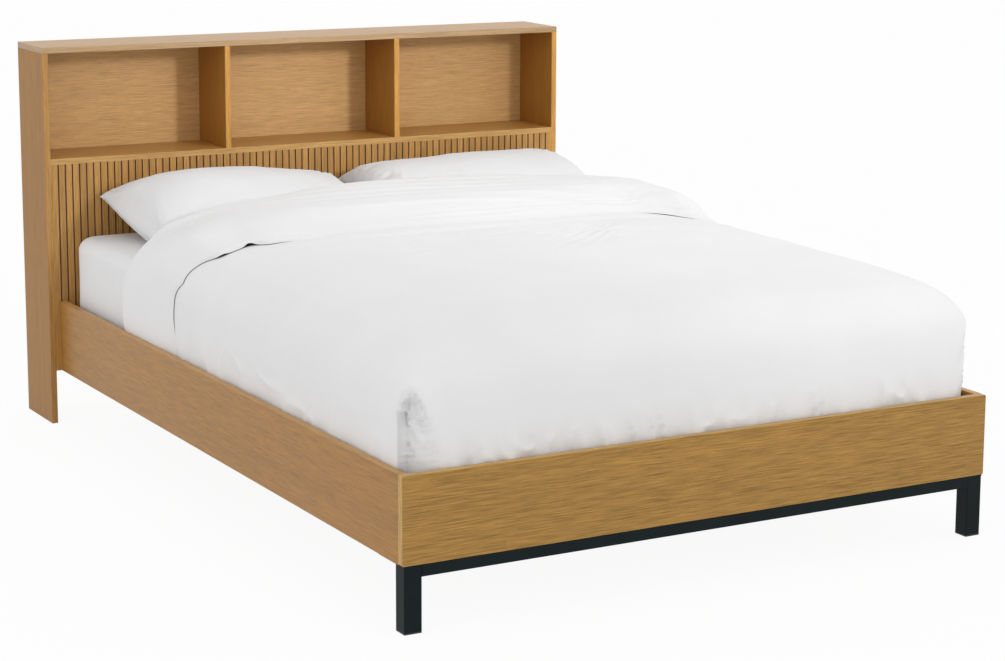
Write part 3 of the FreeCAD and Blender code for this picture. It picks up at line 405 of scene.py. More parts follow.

# %% [markdown]
# ## Cotton
#
# Sheet, pillowcases and duvet cover are plain-woven white cotton. Its threads are far finer than a pixel
# here, so the weave is only a shallow relief of crossed ribs; folds and creases are real geometry. A
# little sheen stands for the fibres that stand up from the cloth, and an ambient occlusion node paints
# shade into the deep folds of pillows and duvet.


# %% Cloth finishes
def cotton(name, tint, thread=0.0011, folds=0.0):
    """Plain-woven cloth: ribs across each axis, a slight unevenness of the yarn, and painted shade in deep folds.
    """
    material, tree, place = new_material(name)
    spot = put(tree, "SeparateXYZ", {"Vector": place}).outputs
    ribs = 0.0
    for axis in "XYZ":
        wave = reckon(tree, "SINE", reckon(tree, "MULTIPLY", spot[axis], 2 * math.pi / thread))
        ribs = reckon(tree, "ADD", wave, ribs)
    yarn = noise_at(tree, place, 260, 3, 0.6)
    cloud = noise_at(tree, place, 5, 3)
    shade = ramp(tree, reckon(tree, "MULTIPLY_ADD", yarn, 0.35, cloud), (0.4, toned(tint, 0.965)), (0.9, tint))
    if folds:
        # painted shade: the colour is darkened in deep folds by ambient occlusion, raised to the power folds
        painted_fold_shade = put(tree, "AmbientOcclusion", {"Distance": 0.045}, samples=8, only_local=True).outputs["AO"]
        shade = blend_colours(tree, 1.0, shade, reckon(tree, "POWER", painted_fold_shade, folds), "MULTIPLY")
    height = reckon(tree, "MULTIPLY_ADD", ribs, 0.12, yarn)
    finish_material(tree, shade, 0.88, height, 0.00012, Sheen_Weight=0.12, Sheen_Roughness=0.5)
    return material


sheet_cotton = cotton("sheet_cotton", (0.80, 0.80, 0.805, 1))
pillow_cotton = cotton("pillow_cotton", (0.77, 0.77, 0.775, 1), folds=0.6)
duvet_cotton = cotton("duvet_cotton", (0.82, 0.82, 0.825, 1), folds=0.8)
mattress_ticking = cotton("mattress_ticking", (0.74, 0.74, 0.72, 1), 0.0024)

# %% [markdown]
# ## Tools for soft pieces
#
# Soft pieces are grids of points worked out in NumPy, which is quick for the tens of thousands of points
# that folds need. Smooth noise on a lattice gives soft hills, and the same noise folded at zero gives
# long creases. Moving each point along its normal by such a height makes the cloth uneven.


# %% Noise, creases and meshes
def hills(seed, *places):
    """Smooth hills between -1 and 1, about one to each unit of two or three coordinates."""
    points = np.stack(places, 1)
    cell = np.floor(points).astype(np.int64)
    part = points - cell
    part = part * part * part * (part * (part * 6 - 15) + 10)
    total = np.zeros(len(points))
    for corner in itertools.product((0, 1), repeat=points.shape[1]):
        mixed = np.full(len(points), seed * 1013, np.int64)
        weight = np.ones(len(points))
        for axis, step in enumerate(corner):
            mixed = (mixed + (cell[:, axis] + step)) * (374761393 + 668265 * axis) & 0xFFFFFFFF
            mixed ^= mixed >> 13
            weight *= part[:, axis] if step else 1 - part[:, axis]
        mixed = mixed * 1274126177 & 0xFFFFFFFF
        mixed ^= mixed >> 16
        total += weight * ((mixed & 0xFFFF) / 32767.5 - 1)
    return total


def creases(across, along, width, length, angle, seed):
    """Long soft ridges of a width and a length, turned by an angle from the second direction."""
    turned = np.radians(angle)
    first = (across * np.cos(turned) + along * np.sin(turned)) / width
    second = (along * np.cos(turned) - across * np.sin(turned)) / length
    first = first + 0.6 * hills(seed + 50, first * 0.3, second * 0.8)
    return (1 - np.abs(hills(seed, first, second))) ** 3 - 0.42


def streaks(across, along, width, length, seed):
    """Fine parallel creases of a spacing and a length, which start and end softly."""
    bend = hills(seed, across / (7 * width), along / length)
    strong = fade(hills(seed + 1, across / (2.5 * width), 1.7 * along / length), -.25, .35)
    return strong * (.5 + .5 * np.cos(2 * np.pi * (across / width + 1.2 * bend))) ** 2


def fan_of(x, y, middle, spacing, seed):
    """Long creases that run out from a place to the left and forward like the ribs of a flat fan."""
    first, second = middle[0] - x, middle[1] - y
    away, angle = np.hypot(first, second), np.arctan2(second, first)
    bend = hills(seed, away * 4, angle * 1.5)
    ribs = (.5 + .5 * np.cos(2 * np.pi * (angle / spacing + .6 * bend))) ** 2
    part = fade(hills(seed + 1, away * 5, angle * 6), -.4, .2)
    return ribs * part * bump_at(away, .38, .24) * fade(angle, -.05, .12) * fade(angle, .90, .55)


def fade(value, start, end):
    """0 before the start, 1 after the end, smooth between; also downwards, when start is the larger."""
    share = np.clip((np.asarray(value, float) - start) / (end - start), 0, 1)
    return share * share * (3 - 2 * share)


def bump_at(value, centre, width):
    """A smooth hump of height 1."""
    return np.exp(-((np.asarray(value) - centre) / width) ** 2)


def through(value, *table):
    """A smooth curve through a small table of places and numbers, which never overshoots them."""
    place, number = (np.array(column, float) for column in zip(*table))
    step, rise = np.diff(place), np.diff(number)
    slope = rise / step
    both = np.where(slope[:-1] * slope[1:] > 0, slope[:-1] + slope[1:], np.inf)
    tangent = np.concatenate([slope[:1], 2 * slope[:-1] * slope[1:] / both, slope[-1:]])
    value = np.asarray(value, float)
    spot = np.clip(np.searchsorted(place, value) - 1, 0, len(step) - 1)
    part = np.clip((value - place[spot]) / step[spot], 0, 1)
    left = 1 - part
    return (number[spot] * (1 + 2 * part) * left ** 2 + number[spot + 1] * part ** 2 * (3 - 2 * part)
            + step[spot] * part * left * (tangent[spot] * left - tangent[spot + 1] * part))


def quads_over(numbers, flip=False):
    """Quads over a grid of point numbers."""
    quads = np.stack([numbers[:-1, :-1], numbers[:-1, 1:], numbers[1:, 1:], numbers[1:, :-1]], 2).reshape(-1, 4)
    return quads[:, ::-1] if flip else quads


def rim_of(numbers):
    """The point numbers round the edge of a grid, in order."""
    return np.concatenate([numbers[0, :-1], numbers[:-1, -1], numbers[-1, :0:-1], numbers[:0:-1, 0]])


def band_between(first, second):
    """Quads that join two closed loops of point numbers."""
    return np.stack([first, second, np.roll(second, -1), np.roll(first, -1)], 1)


def point_normals(points, quads):
    """Unit normals of points, from the faces round them."""
    across = np.cross(points[quads[:, 2]] - points[quads[:, 0]], points[quads[:, 3]] - points[quads[:, 1]])
    total = np.zeros_like(points)
    for corner in range(4):
        np.add.at(total, quads[:, corner], across)
    return total / np.maximum(np.linalg.norm(total, axis=1, keepdims=True), 1e-12)


def mesh_of(name, points, faces):
    """A mesh; a face that names a point twice gets a corner less."""
    mesh = bpy.data.meshes.new(name)
    mesh.from_pydata(points.tolist(), [], [list(dict.fromkeys(face)) for face in faces])
    return mesh


def add_piece(name, points, faces, material, body, stands_for):
    """A smooth mesh piece that rides on a body in place of a CAD solid."""
    mesh = mesh_of(name, points, faces)
    mesh.validate()
    skin = bmesh.new()
    skin.from_mesh(mesh)
    bmesh.ops.recalc_face_normals(skin, faces=skin.faces)
    skin.to_mesh(mesh)
    skin.free()
    mesh.shade_smooth()
    mesh.materials.append(material)
    piece = in_scene(name, mesh)
    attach(piece, body)
    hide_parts(stands_for)
    print(name, len(points), "points")
    return piece


# %% [markdown]
# ## Mattress and fitted sheet
#
# The mattress is a rounded block in quilted ticking, and the fitted sheet is pulled over it, so the
# sheet's skin follows the same block a little further out. One function wraps a grid of points round a
# rounded block: rows run from the middle of the top, over the edge, down the side and under. The sheet
# stops short of the middle underneath, where its elastic hem ends.


# %% A skin round a rounded block
def rounded_plan(half_x, half_y, corner):
    """Points round a rounded rectangle, close enough for folds."""
    quarter = []
    straight_x, straight_y = half_x - corner, half_y - corner
    for share in np.linspace(0, 1, 100, endpoint=False):
        quarter.append((half_x, share * straight_y))
    for share in np.linspace(0, 1, 16, endpoint=False):
        angle = share * math.pi / 2
        quarter.append((straight_x + corner * math.cos(angle), straight_y + corner * math.sin(angle)))
    for share in np.linspace(1, 0, 70, endpoint=False):
        quarter.append((share * straight_x, half_y))
    quarter = np.array(quarter)
    around = [quarter, quarter[::-1] * (-1, 1), quarter * (-1, -1), quarter[::-1] * (1, -1)]
    return np.concatenate([part[:-1] if index % 2 else part for index, part in enumerate(around)])


def block_skin(low, high, corner, edge, inset_under):
    """A closed ring of points at each level of a rounded block, from its top's middle to its underside."""
    centre, half = (low + high) / 2, (high - low) / 2
    base = rounded_plan(half[0], half[1], corner)

    def ring(pulled, height):
        plan = rounded_plan(half[0] - pulled, half[1] - pulled, max(corner - pulled, 0.01))
        return np.column_stack([plan, np.full(len(plan), height)])

    shares = (0.02, 0.1, 0.2, 0.3, 0.4, 0.5, 0.6, 0.7, 0.8, 0.88, 0.94)
    rings = [np.column_stack([base * share, np.full(len(base), half[2])]) for share in shares]
    bends = [(edge * (1 - math.sin(turn)), edge * (1 - math.cos(turn))) for turn in np.linspace(0, math.pi / 2, 7)]
    rings += [ring(pulled, half[2] - drop) for pulled, drop in bends]
    rings += [ring(0, (half[2] - edge) * (1 - 2 * share)) for share in np.linspace(0, 1, 16)[1:-1]]
    rings += [ring(pulled, -half[2] + drop) for pulled, drop in bends[::-1]]
    rings += [ring(edge + share * (inset_under - edge), -half[2]) for share in np.linspace(0, 1, 6)[1:]]
    return np.stack(rings) + centre


def ring_faces(rows, columns):
    """Quads over rings of points that close on themselves."""
    r, c = np.meshgrid(np.arange(rows - 1), np.arange(columns), indexing="ij")
    a, b = (r * columns + c).ravel(), (r * columns + (c + 1) % columns).ravel()
    return np.stack([a, a + columns, b + columns, b], 1)


def skin_in_box(box, gap, corner, edge, inset_under):
    """Points and faces of a skin just inside a box, the box's ends as arrays, and a ring's length."""
    low, high = (np.array(end) for end in box)
    skin = block_skin(low + gap, high - gap, corner, edge, inset_under)
    columns = skin.shape[1]
    faces = ring_faces(len(skin), columns).tolist() + [list(range(columns))]
    return skin.reshape(-1, 3), faces, low, high, columns


# %% Mattress
flat, faces, low, high, columns = skin_in_box(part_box("mattress"), 0.0006, 0.060, 0.028, 0.6)
under = fade(flat[:, 2], low[2] + 0.02, low[2])
QUILT_PITCH = 0.14
turned = np.column_stack([flat[:, 0] + flat[:, 1], flat[:, 0] - flat[:, 1]]) * math.pi / QUILT_PITCH
quilt = np.abs(np.sin(turned[:, 0]) * np.sin(turned[:, 1]))
flat[:, 2] += under * 0.006 * (1 - np.sqrt(quilt))
side = (1 - under) * fade(flat[:, 2], high[2], high[2] - 0.03)
tape = bump_at(flat[:, 2], low[2] + 0.022, 0.004) + bump_at(flat[:, 2], high[2] - 0.022, 0.004)
middle = (low + high) / 2
flat[:, 0] -= np.sign(flat[:, 0] - middle[0]) * 0.0004 * tape * side
faces.append(list(range(len(flat) - columns, len(flat)))[::-1])
mattress = add_piece("mattress_block", flat, faces, mattress_ticking, "mattress", "mattress")

# %% Fitted sheet
flat, faces, low, high, _ = skin_in_box(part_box("fitted_sheet"), 0.0003, 0.061, 0.029, 0.11)
bare = fade(flat[:, 1], 0.45, 0.55)
around = np.where(np.abs(flat[:, 0]) > 0.6, flat[:, 1], flat[:, 0])
pull = creases(around, flat[:, 2], 0.045, 0.30, 12, 4) * fade(flat[:, 2], high[2], high[2] - 0.10)
soft = hills(9, *(flat.T * 7))
push = bare * (0.0012 + 0.0011 * soft + 0.0016 * np.clip(pull, -0.3, 1))
from_middle = flat - (low + high) / 2
outward = np.sign(from_middle) * (np.abs(from_middle) > (high - low) / 2 - 0.012)
flat[:, :2] += outward[:, :2] * np.clip(push, 0, 0.004)[:, None]
flat[:, 2] += (outward[:, 2] > 0) * np.clip(push, 0, 0.003)
fitted_sheet = add_piece("fitted_sheet_cotton", flat, faces, sheet_cotton, "mattress", "fitted_sheet")
print("sheet reaches", flat.min(0).round(3).tolist(), flat.max(0).round(3).tolist())

# %% [markdown]
# ## Pillows
#
# A pillow is two cloth rectangles sewn round their edges and filled, so it is fat in the middle, thin at
# the edges, and its sides draw in between pointed corners. The case puckers along the seams, where the
# cloth has to get shorter. The grid below has that form, then a short cloth simulation blows it up a
# little, which gives the puckers, and a limit keeps it in the space that its CAD solid holds.


# %% Pillow form
PILLOW_WIDTH, PILLOW_DEPTH, CROWN, BELLY, WAIST = 0.648, 0.406, 0.098, 0.046, 0.010
PRESSED = 0.70   # share of the fullness that the blunt end keeps at its rim
# fullness along the pillow, from its left end, -1, to its right end, 1
LEFT_LIE = ((-1, 1.0), (-.40, 1.14), (.20, 1.03), (.65, .82), (1, .62))
RIGHT_LIE = ((-1, .95), (0, 1.03), (.55, 1.08), (1, 1.38))


def pillow_side(height, pressed_end, lie, rows=70, columns=104):
    """One side of a pillow, as a grid of points; the pressed end, -1 or 1, is blunt."""
    u = np.sin(np.linspace(-math.pi / 2, math.pi / 2, columns)) * 0.6 + np.linspace(-1, 1, columns) * 0.4
    v = np.sin(np.linspace(-math.pi / 2, math.pi / 2, rows)) * 0.5 + np.linspace(-1, 1, rows) * 0.5
    u, v = np.meshgrid(u, v)
    swell = np.clip(1 - np.abs(u) ** 4, 0, 1) ** 0.57
    blunt = PRESSED + (1 - PRESSED) * swell
    rounded = np.sqrt(np.clip(1 - ((np.abs(u) - 0.90) / 0.10).clip(0) ** 2, 0, 1))
    swell = np.where(u * pressed_end > 0, blunt * rounded, swell)
    x = u * (PILLOW_WIDTH / 2 - WAIST * np.clip(1 - np.abs(v) ** 3, 0, 1) ** 0.6)
    y = v * (PILLOW_DEPTH / 2 - WAIST * np.clip(1 - np.abs(u) ** 3, 0, 1) ** 0.6)
    z = height * through(u, *lie) * swell * np.clip(1 - np.abs(v) ** 2.2, 0, 1) ** 0.72
    return np.stack([x, y, z], 2)


def blow_up(points, faces, pressure, steps, limit):
    """The points after a short cloth simulation with air inside, none moved by more than the limit."""
    piece = in_scene("air", mesh_of("air", points, faces))
    cloth = piece.modifiers.new("air", "CLOTH")
    cloth.point_cache.frame_end = steps
    case = cloth.settings
    case.quality = 5
    case.mass = 0.3
    case.tension_stiffness = case.compression_stiffness = 18
    case.shear_stiffness = 6
    case.bending_stiffness = 0.3
    case.use_pressure = True
    case.uniform_pressure_force = pressure
    case.effector_weights.gravity = 0
    for step in range(1, steps + 1):
        bpy.context.scene.frame_set(step)
    settled = piece.evaluated_get(bpy.context.evaluated_depsgraph_get()).to_mesh()
    moved = np.zeros(len(points) * 3)
    settled.vertices.foreach_get("co", moved)
    bpy.context.scene.frame_set(1)
    bpy.data.objects.remove(piece)
    shift = moved.reshape(-1, 3) - points
    reach = np.linalg.norm(shift, axis=1, keepdims=True)
    print("air moved the cloth by up to", round(float(reach.max()) * 1000, 1), "mm")
    return points + shift * np.minimum(1, limit / np.maximum(reach, 1e-9))


def pillow_creases(grid, pressed_end, seed):
    """Heights of the creases that run in from each corner, arcs at the pressed end and soft dents."""
    x, y = grid[..., 0].ravel(), grid[..., 1].ravel()
    total = 0.0026 * hills(seed, x * 8, y * 8) + 0.0010 * hills(seed + 1, x * 22, y * 22)
    for corner_x, corner_y in itertools.product((-0.31, 0.31), (-0.2, 0.2)):
        away = np.hypot(x - corner_x, y - corner_y)
        angle = np.arctan2(y - corner_y, x - corner_x)
        rays = 0.5 - np.abs(hills(seed + 7, angle * 7, away * 5))
        total += 0.0060 * rays * bump_at(away, 0.10, 0.08)
    edge = np.minimum(0.2 - np.abs(y), 0.32 - np.abs(x))
    along_edge = np.where(0.2 - np.abs(y) < 0.32 - np.abs(x), x, y)
    pucker = creases(along_edge, edge, 0.016, 0.08, 6, seed + 9)
    total += 0.0028 * pucker * bump_at(edge, 0.02, 0.022)
    inner = 0.32 - x * pressed_end
    arcs = creases(inner + 0.10 * (y / 0.2) ** 2, y, 0.030, 0.26, 4, seed + 11)
    total += 0.0034 * arcs * bump_at(inner, 0.05, 0.06)
    return total.reshape(grid.shape[:2])


# %% Two pillows
TILT, SEAM_RISE, TIP_LIFT = math.radians(14), 0.050, 0.018
for side_name, pressed_end, lie, seed in (("left", 1, LEFT_LIE, 11), ("right", -1, RIGHT_LIE, 23)):
    low, high = (np.array(corner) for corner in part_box("pillow_" + side_name))
    upper = pillow_side(CROWN, pressed_end, lie)
    lower = pillow_side(-BELLY, pressed_end, ((-1, 1.0), (1, 1.0)))
    flat_enough = fade(upper[..., 2], 0.0, 0.02)
    upper[..., 2] += pillow_creases(upper, pressed_end, seed) * flat_enough
    rows, columns = upper.shape[:2]
    top_numbers = np.arange(rows * columns).reshape(rows, columns)
    under_numbers = top_numbers + rows * columns
    for edge in ((0, slice(None)), (-1, slice(None)), (slice(None), 0), (slice(None), -1)):
        under_numbers[edge] = top_numbers[edge]
    faces = np.concatenate([quads_over(top_numbers), quads_over(under_numbers, True)])
    points = np.concatenate([upper.reshape(-1, 3), lower.reshape(-1, 3)])
    used, faces = np.unique(faces, return_inverse=True)
    points, faces = points[used], faces.reshape(-1, 4)
    tip = fade(points[:, 0] * pressed_end, -.16, -.32) * fade(points[:, 1], .12, -.20)
    points[:, 2] += TIP_LIFT * tip
    points[:, 0] += .010 * tip * pressed_end
    points = blow_up(points, faces, 2.2, 16, 0.010)
    points = points @ np.array(Matrix.Rotation(TILT, 3, "X")).T
    points += ((low[0] + high[0]) / 2, high[1] - PILLOW_DEPTH / 2 * math.cos(TILT),
               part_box("fitted_sheet")[1].z + SEAM_RISE)
    points[:, 2] = np.maximum(points[:, 2], low[2] + 0.0002)
    points[:, 1] = np.minimum(points[:, 1], HEADBOARD_FACE - 0.001)
    pillow = add_piece(f"pillow_{side_name}_case", points, faces.tolist(), pillow_cotton,
                       "pillow_" + side_name, "pillow_" + side_name)
    print(side_name, "pillow", points.min(0).round(3).tolist(), points.max(0).round(3).tolist())

# %% [markdown]
# ## Duvet
#
# The duvet lies over the mattress, is tucked inside the rails and the footboard, and is folded back at
# the head, so it has two layers: the long lower one, and the turned-back band, which starts in a fat roll
# near the pillows and ends in a hem. A drape simulation could find such forms, but then the photographed
# places couldn't be chosen. Here the surface is given as a level set, a rule that says whether a place is
# inside the duvet, and rays are cast from a line inside it until they meet the surface. The rays fan out
# over the shoulders and round the foot corners, so the points stay even where the cloth turns sharply.
# The tables of places and heights were read off the photograph with the camera's own geometry.

# %% The duvet's outline
WIDE, FOOT, HEAD_END = 0.6870, -1.0345, 0.4285   # half width, foremost place and the end inside the roll
CORNER, HEM_HEIGHT, RAY_HEIGHT, TOP = 0.050, 0.2905, 0.430, 0.590   # radius at the foot, and three heights
INNER_X, INNER_Y = WIDE - 0.160, FOOT + 0.160    # the line that the rays start from
BED_X, BED_Y, BED_CORNER, BED_TOP = 0.6725, -1.0285, 0.061, 0.4790   # the hollow round mattress and sheet


def section(x):
    """Height of the lower layer's top across the bed, from a table for each half."""
    left = through(-x, (-.30, .587), (0, .590), (.30, .587), (.45, .580), (.52, .5735), (.58, .5625),
                   (.62, .549), (.65, .529), (.672, .505), (.683, .480), (.687, .455))
    right = through(x, (-.30, .588), (0, .590), (.30, .588), (.45, .583), (.52, .578), (.58, .5695),
                    (.62, .558), (.65, .541), (.672, .517), (.683, .490), (.687, .460))
    return np.where(x < 0, left, right)


def foot_fall(y):
    """How far the top has fallen towards the foot."""
    return through(-y, (.6465, 0), (.8535, .013), (.9435, .028), (.980, .045), (1.005, .066),
                   (1.022, .090), (1.0315, .115), (1.0345, .145))


def plan_distance(x, y, half, foot, corner):
    """Distance outside a rectangle that is rounded at the foot and endless at the head."""
    side, front = np.abs(x) - half + corner, foot + corner - y
    return np.minimum(np.maximum(side, front), 0) + np.hypot(side.clip(0), front.clip(0)) - corner


def smooth_larger(first, second, soft):
    """The larger of two values, with a rounded change-over."""
    near = np.clip(1 - np.abs(first - second) / soft, 0, 1)
    return np.maximum(first, second) + near * near * soft / 4


def lower_level(points):
    """Negative inside the lower layer, which is drawn in a little under the band."""
    x, y, z = points.T
    right = fade(x, -.25, .25)
    band = fade(y, .09 - .21 * right, .17 - .22 * right)
    x = x * (1 + .0110 * band)
    top = TOP - np.hypot(TOP - section(x), foot_fall(y)) - .002 * band - .064 * fade(y, .31, .44)
    return smooth_larger(z - top, plan_distance(x, y, WIDE, FOOT, CORNER), .012)


def hollow_level(points):
    """Negative inside the hollow for the mattress and its sheet."""
    x, y, z = points.T
    return smooth_larger(z - BED_TOP, plan_distance(x, y, BED_X, BED_Y, BED_CORNER), .030)


def cast(start, way, level, reach=0.40):
    """How far along each ray the surface is."""
    near, far = np.zeros(len(start)), np.full(len(start), reach)
    for _ in range(26):
        middle = (near + far) / 2
        inside = level(start + way * middle[:, None]) < 0
        near, far = np.where(inside, middle, near), np.where(inside, far, middle)
    return near


# %% [markdown]
# ### The lower layer
#
# The middle of its top is a plain grid. A strip of rays runs round it like a letter U: down the left side,
# round the foot corner, along the foot and back up the right side. Its top row is the grid's own edge.

# %% Lower layer
side_y = np.concatenate([np.linspace(HEAD_END, 0.16, 22), np.linspace(0.16, -0.34, 130)[1:],
                         np.linspace(-0.34, -0.55, 32)[1:], np.linspace(-0.55, INNER_Y, 46)[1:]])
foot_x = np.linspace(-INNER_X, INNER_X, 176)
fan = np.linspace(0, math.pi / 2, 40)[1:-1]
top_numbers = np.arange(len(side_y) * len(foot_x)).reshape(len(side_y), len(foot_x))
rays = [(-INNER_X, y, -1, 0, number) for y, number in zip(side_y, top_numbers[:, 0])]
rays += [(-INNER_X, INNER_Y, -math.cos(angle), -math.sin(angle), top_numbers[-1, 0]) for angle in fan]
rays += [(x, INNER_Y, 0, -1, number) for x, number in zip(foot_x, top_numbers[-1])]
rays += [(INNER_X, INNER_Y, math.cos(angle), -math.sin(angle), top_numbers[-1, -1]) for angle in fan[::-1]]
rays += [(INNER_X, y, 1, 0, number) for y, number in zip(side_y[::-1], top_numbers[::-1, -1])]
rays = np.array(rays)
u_start, u_way, u_number = rays[:, :2], rays[:, 2:4], rays[:, 4].astype(int)

turns = np.radians(np.linspace(90, 0, 28))
levels = np.linspace(RAY_HEIGHT, HEM_HEIGHT, 38)[1:]


def u_strip(level):
    """Points of the U strip, a row for each turn of the rays and then for each height."""
    rows = []
    fanned = [(RAY_HEIGHT, math.cos(angle), math.sin(angle)) for angle in turns[1:]]
    for height, out, rise in fanned + [(height, 1.0, 0.0) for height in levels]:
        start = np.column_stack([u_start, np.full(len(u_start), height)])
        way = np.column_stack([u_way * out, np.full(len(u_way), rise)])
        rows.append(start + way * cast(start, way, level)[:, None])
    return np.stack(rows)


def top_grid(level):
    """Points of the middle of the top."""
    x, y = np.meshgrid(foot_x, side_y)
    start, way = np.column_stack([x.ravel(), y.ravel(), np.full(x.size, RAY_HEIGHT)]), np.array((0, 0, 1.0))
    return start + way * cast(start, way, level)[:, None]


def whole_layer(level):
    """All points of one face of the lower layer."""
    return np.concatenate([top_grid(level), u_strip(level).reshape(-1, 3)])


strip_rows = len(turns) - 1 + len(levels)
strip_numbers = top_numbers.size + np.arange(len(u_number) * strip_rows).reshape(-1, len(u_number))
strip_numbers = np.vstack([u_number, strip_numbers])
lower_quads = np.concatenate([quads_over(top_numbers, True), quads_over(strip_numbers, True)])
lower_rim = np.concatenate([top_numbers[0, :-1], strip_numbers[:, -1][:-1], strip_numbers[-1, ::-1][:-1],
                            strip_numbers[::-1, 0][:-1]])
lower_outer, lower_inner = whole_layer(lower_level), whole_layer(hollow_level)
print("lower layer", len(lower_outer), "points a face")

# %% [markdown]
# ### The turned-back band
#
# The band uses rays of the same kind, in upright planes across the bed. Its thickness is set along each
# ray: fat on top, thin where it hangs between mattress and rail. Near the roll its two faces close in a
# half round, and at the hem its outer face comes down on the layer below.

# %% Band
def side_rays(side):
    """Rays out through one side, from the hem up, and then round the shoulder."""
    rays = [(side * INNER_X, height, side, 0.0) for height in np.linspace(HEM_HEIGHT, RAY_HEIGHT, 28)[:-1]]
    fanned = np.radians(np.linspace(0, 90, 27))
    return rays + [(side * INNER_X, RAY_HEIGHT, side * math.cos(angle), math.sin(angle)) for angle in fanned]


over_top = [(x, RAY_HEIGHT, 0.0, 1.0) for x in np.linspace(-INNER_X, INNER_X, 200)[1:-1]]
ray_x, ray_z, way_x, way_z = np.array(side_rays(-1) + over_top + side_rays(1)[::-1]).T


def ridge(x):
    """Height of the roll across the bed."""
    return through(x, (-.687, .45), (-.678, .494), (-.6164, .543), (-.5705, .567), (-.4545, .600),
                   (-.3077, .6175), (-.1873, .630), (-.0412, .6356), (.10, .635), (.236, .6314), (.42, .620),
                   (.627, .6018), (.66, .575), (.680, .53), (.687, .48))


def band_level(points):
    """Negative inside the turned-back band and what it covers."""
    x, y, z = points.T
    bulk = through(x, (-.687, .028), (-.45, .034), (0, .038), (.45, .044), (.60, .054), (.687, .046))
    back = fade(y, .20, .42)
    top = (section(x) + bulk) * (1 - back) + ridge(x) * back
    return smooth_larger(z - top, np.abs(x) - WIDE, .012)


def rays_at(y):
    """Starts and directions of the band's rays, for a place along the bed for each."""
    return np.column_stack([ray_x, y, ray_z]), np.column_stack([way_x, 0 * y, way_z])


start, way = rays_at(np.full(len(ray_x), 0.1))
reference = start + way * cast(start, way, band_level)[:, None]
ref_x, ref_z = reference[:, 0], reference[:, 2]
hem_y = through(ref_x, (-.687, .100), (-.66, .075), (-.622, .036), (-.58, .040), (-.544, .046), (-.50, .016),
                (-.40, .012), (-.23, .009), (0, -.012), (.20, -.018), (.40, -.012), (.47, -.010), (.54, -.055),
                (.60, -.120), (.65, -.135), (.687, -.110))
roll_y = through(ref_x, (-.687, .435), (-.62, .462), (-.45, .474), (-.30, .4805), (.30, .4805), (.62, .474),
                 (.687, .450))
side_hem = through(ref_z, (.29, .125), (.301, .130), (.346, .152), (.401, .160), (.453, .146), (.49, .100))
side_roll = through(ref_z, (.29, .445), (.34, .477), (.42, .4715), (.47, .450), (.49, .435))
left_side = (ref_x < -.6) & (ref_z < .49)
hem_y, roll_y = np.where(left_side, side_hem, hem_y), np.where(left_side, side_roll, roll_y)
quarter = np.linspace(0, math.pi / 2, 26)   # rows crowd together near the roll and near the hem
shares = np.concatenate([0.12 * (1 - np.cos(quarter)), np.linspace(0.12, 0.90, 100)[1:],
                         0.90 + 0.10 * np.sin(quarter)[1:]])
GAP, SUNK, THINNEST = .0013, .0021, .002   # between the layers, where the hem melts in, and of the band
HEM_OPENINGS = (-.622, -.544)
band_outer, band_inner = [], []
for share in shares:
    y = roll_y + (hem_y - roll_y) * share
    start, way = rays_at(y)
    away = y - hem_y
    melts = np.maximum(fade(ref_x, -.50, -.42) * (1 - bump_at(ref_x, .525, .045)),
                       (ref_x < -.6) * fade(ref_z, .40, .34))
    merged = melts * fade(away, .05, .005)
    under = cast(start, way, lower_level) + GAP - SUNK * merged
    over = cast(start, way, band_level)
    lift = .0045 * bump_at(ref_x, HEM_OPENINGS[0], .011) + .0065 * bump_at(ref_x, HEM_OPENINGS[1], .013)
    under = under + lift * fade(away, .045, 0) * (ref_z > .5)
    lip = .22 * fade(away, 0, .012) + .78 * fade(away, 0, .16)
    soft = fade(away, -.01, .20)
    full = np.where(ref_x < -.45, lip, lip + (soft - lip) * fade(ref_x, -.46, -.34))
    full = np.where(np.abs(ref_x) > .683, np.maximum(full, .5 * fade(away, 0, .02)), full)
    over = under + .0006 + np.maximum(over - under, THINNEST) * full
    middle, half_gap = (over + under) / 2, (over - under) / 2
    rounding = np.clip((roll_y - y) / np.maximum(half_gap, .008), 0, 1)
    nose = np.sqrt(1 - (1 - rounding) ** 2)
    half_gap = half_gap * (1 - .8 * merged)
    band_inner.append(start + way * (middle - half_gap * nose)[:, None])
    band_outer.append(start + way * (middle + half_gap * nose)[:, None])
band_outer, band_inner = np.stack(band_outer), np.stack(band_inner)
band_rows, band_columns = band_outer.shape[:2]
band_numbers = np.arange(band_rows * band_columns).reshape(band_rows, band_columns)
band_quads = quads_over(band_numbers, True)
print("band", band_outer.shape)


# %% [markdown]
# ### Folds in the duvet
#
# Down filling makes the cover swell in broad soft hills. The cover gathers where it is tucked behind the
# footboard, folds in at the foot corners, and creases run along the hem and out from its right end. All
# of these are heights that move the points along the cloth's normals.

# %% Folds
def round_corner(x, y):
    """Distance round the foot corner, from where its curve starts on the side."""
    angle = np.arctan2(-(y - FOOT - CORNER), np.abs(x) - WIDE + CORNER)
    past = (WIDE - CORNER - np.abs(x)).clip(0) * (y < FOOT + .03)
    return np.where(y < FOOT + .051, CORNER * angle.clip(0, math.pi / 2) + past, FOOT + CORNER - y)


def down_the_side(x, z):
    """Distance across the bed, measured over the shoulders and down the sides."""
    return x + np.sign(x) * (.60 - z).clip(0) * (np.abs(x) > .60)


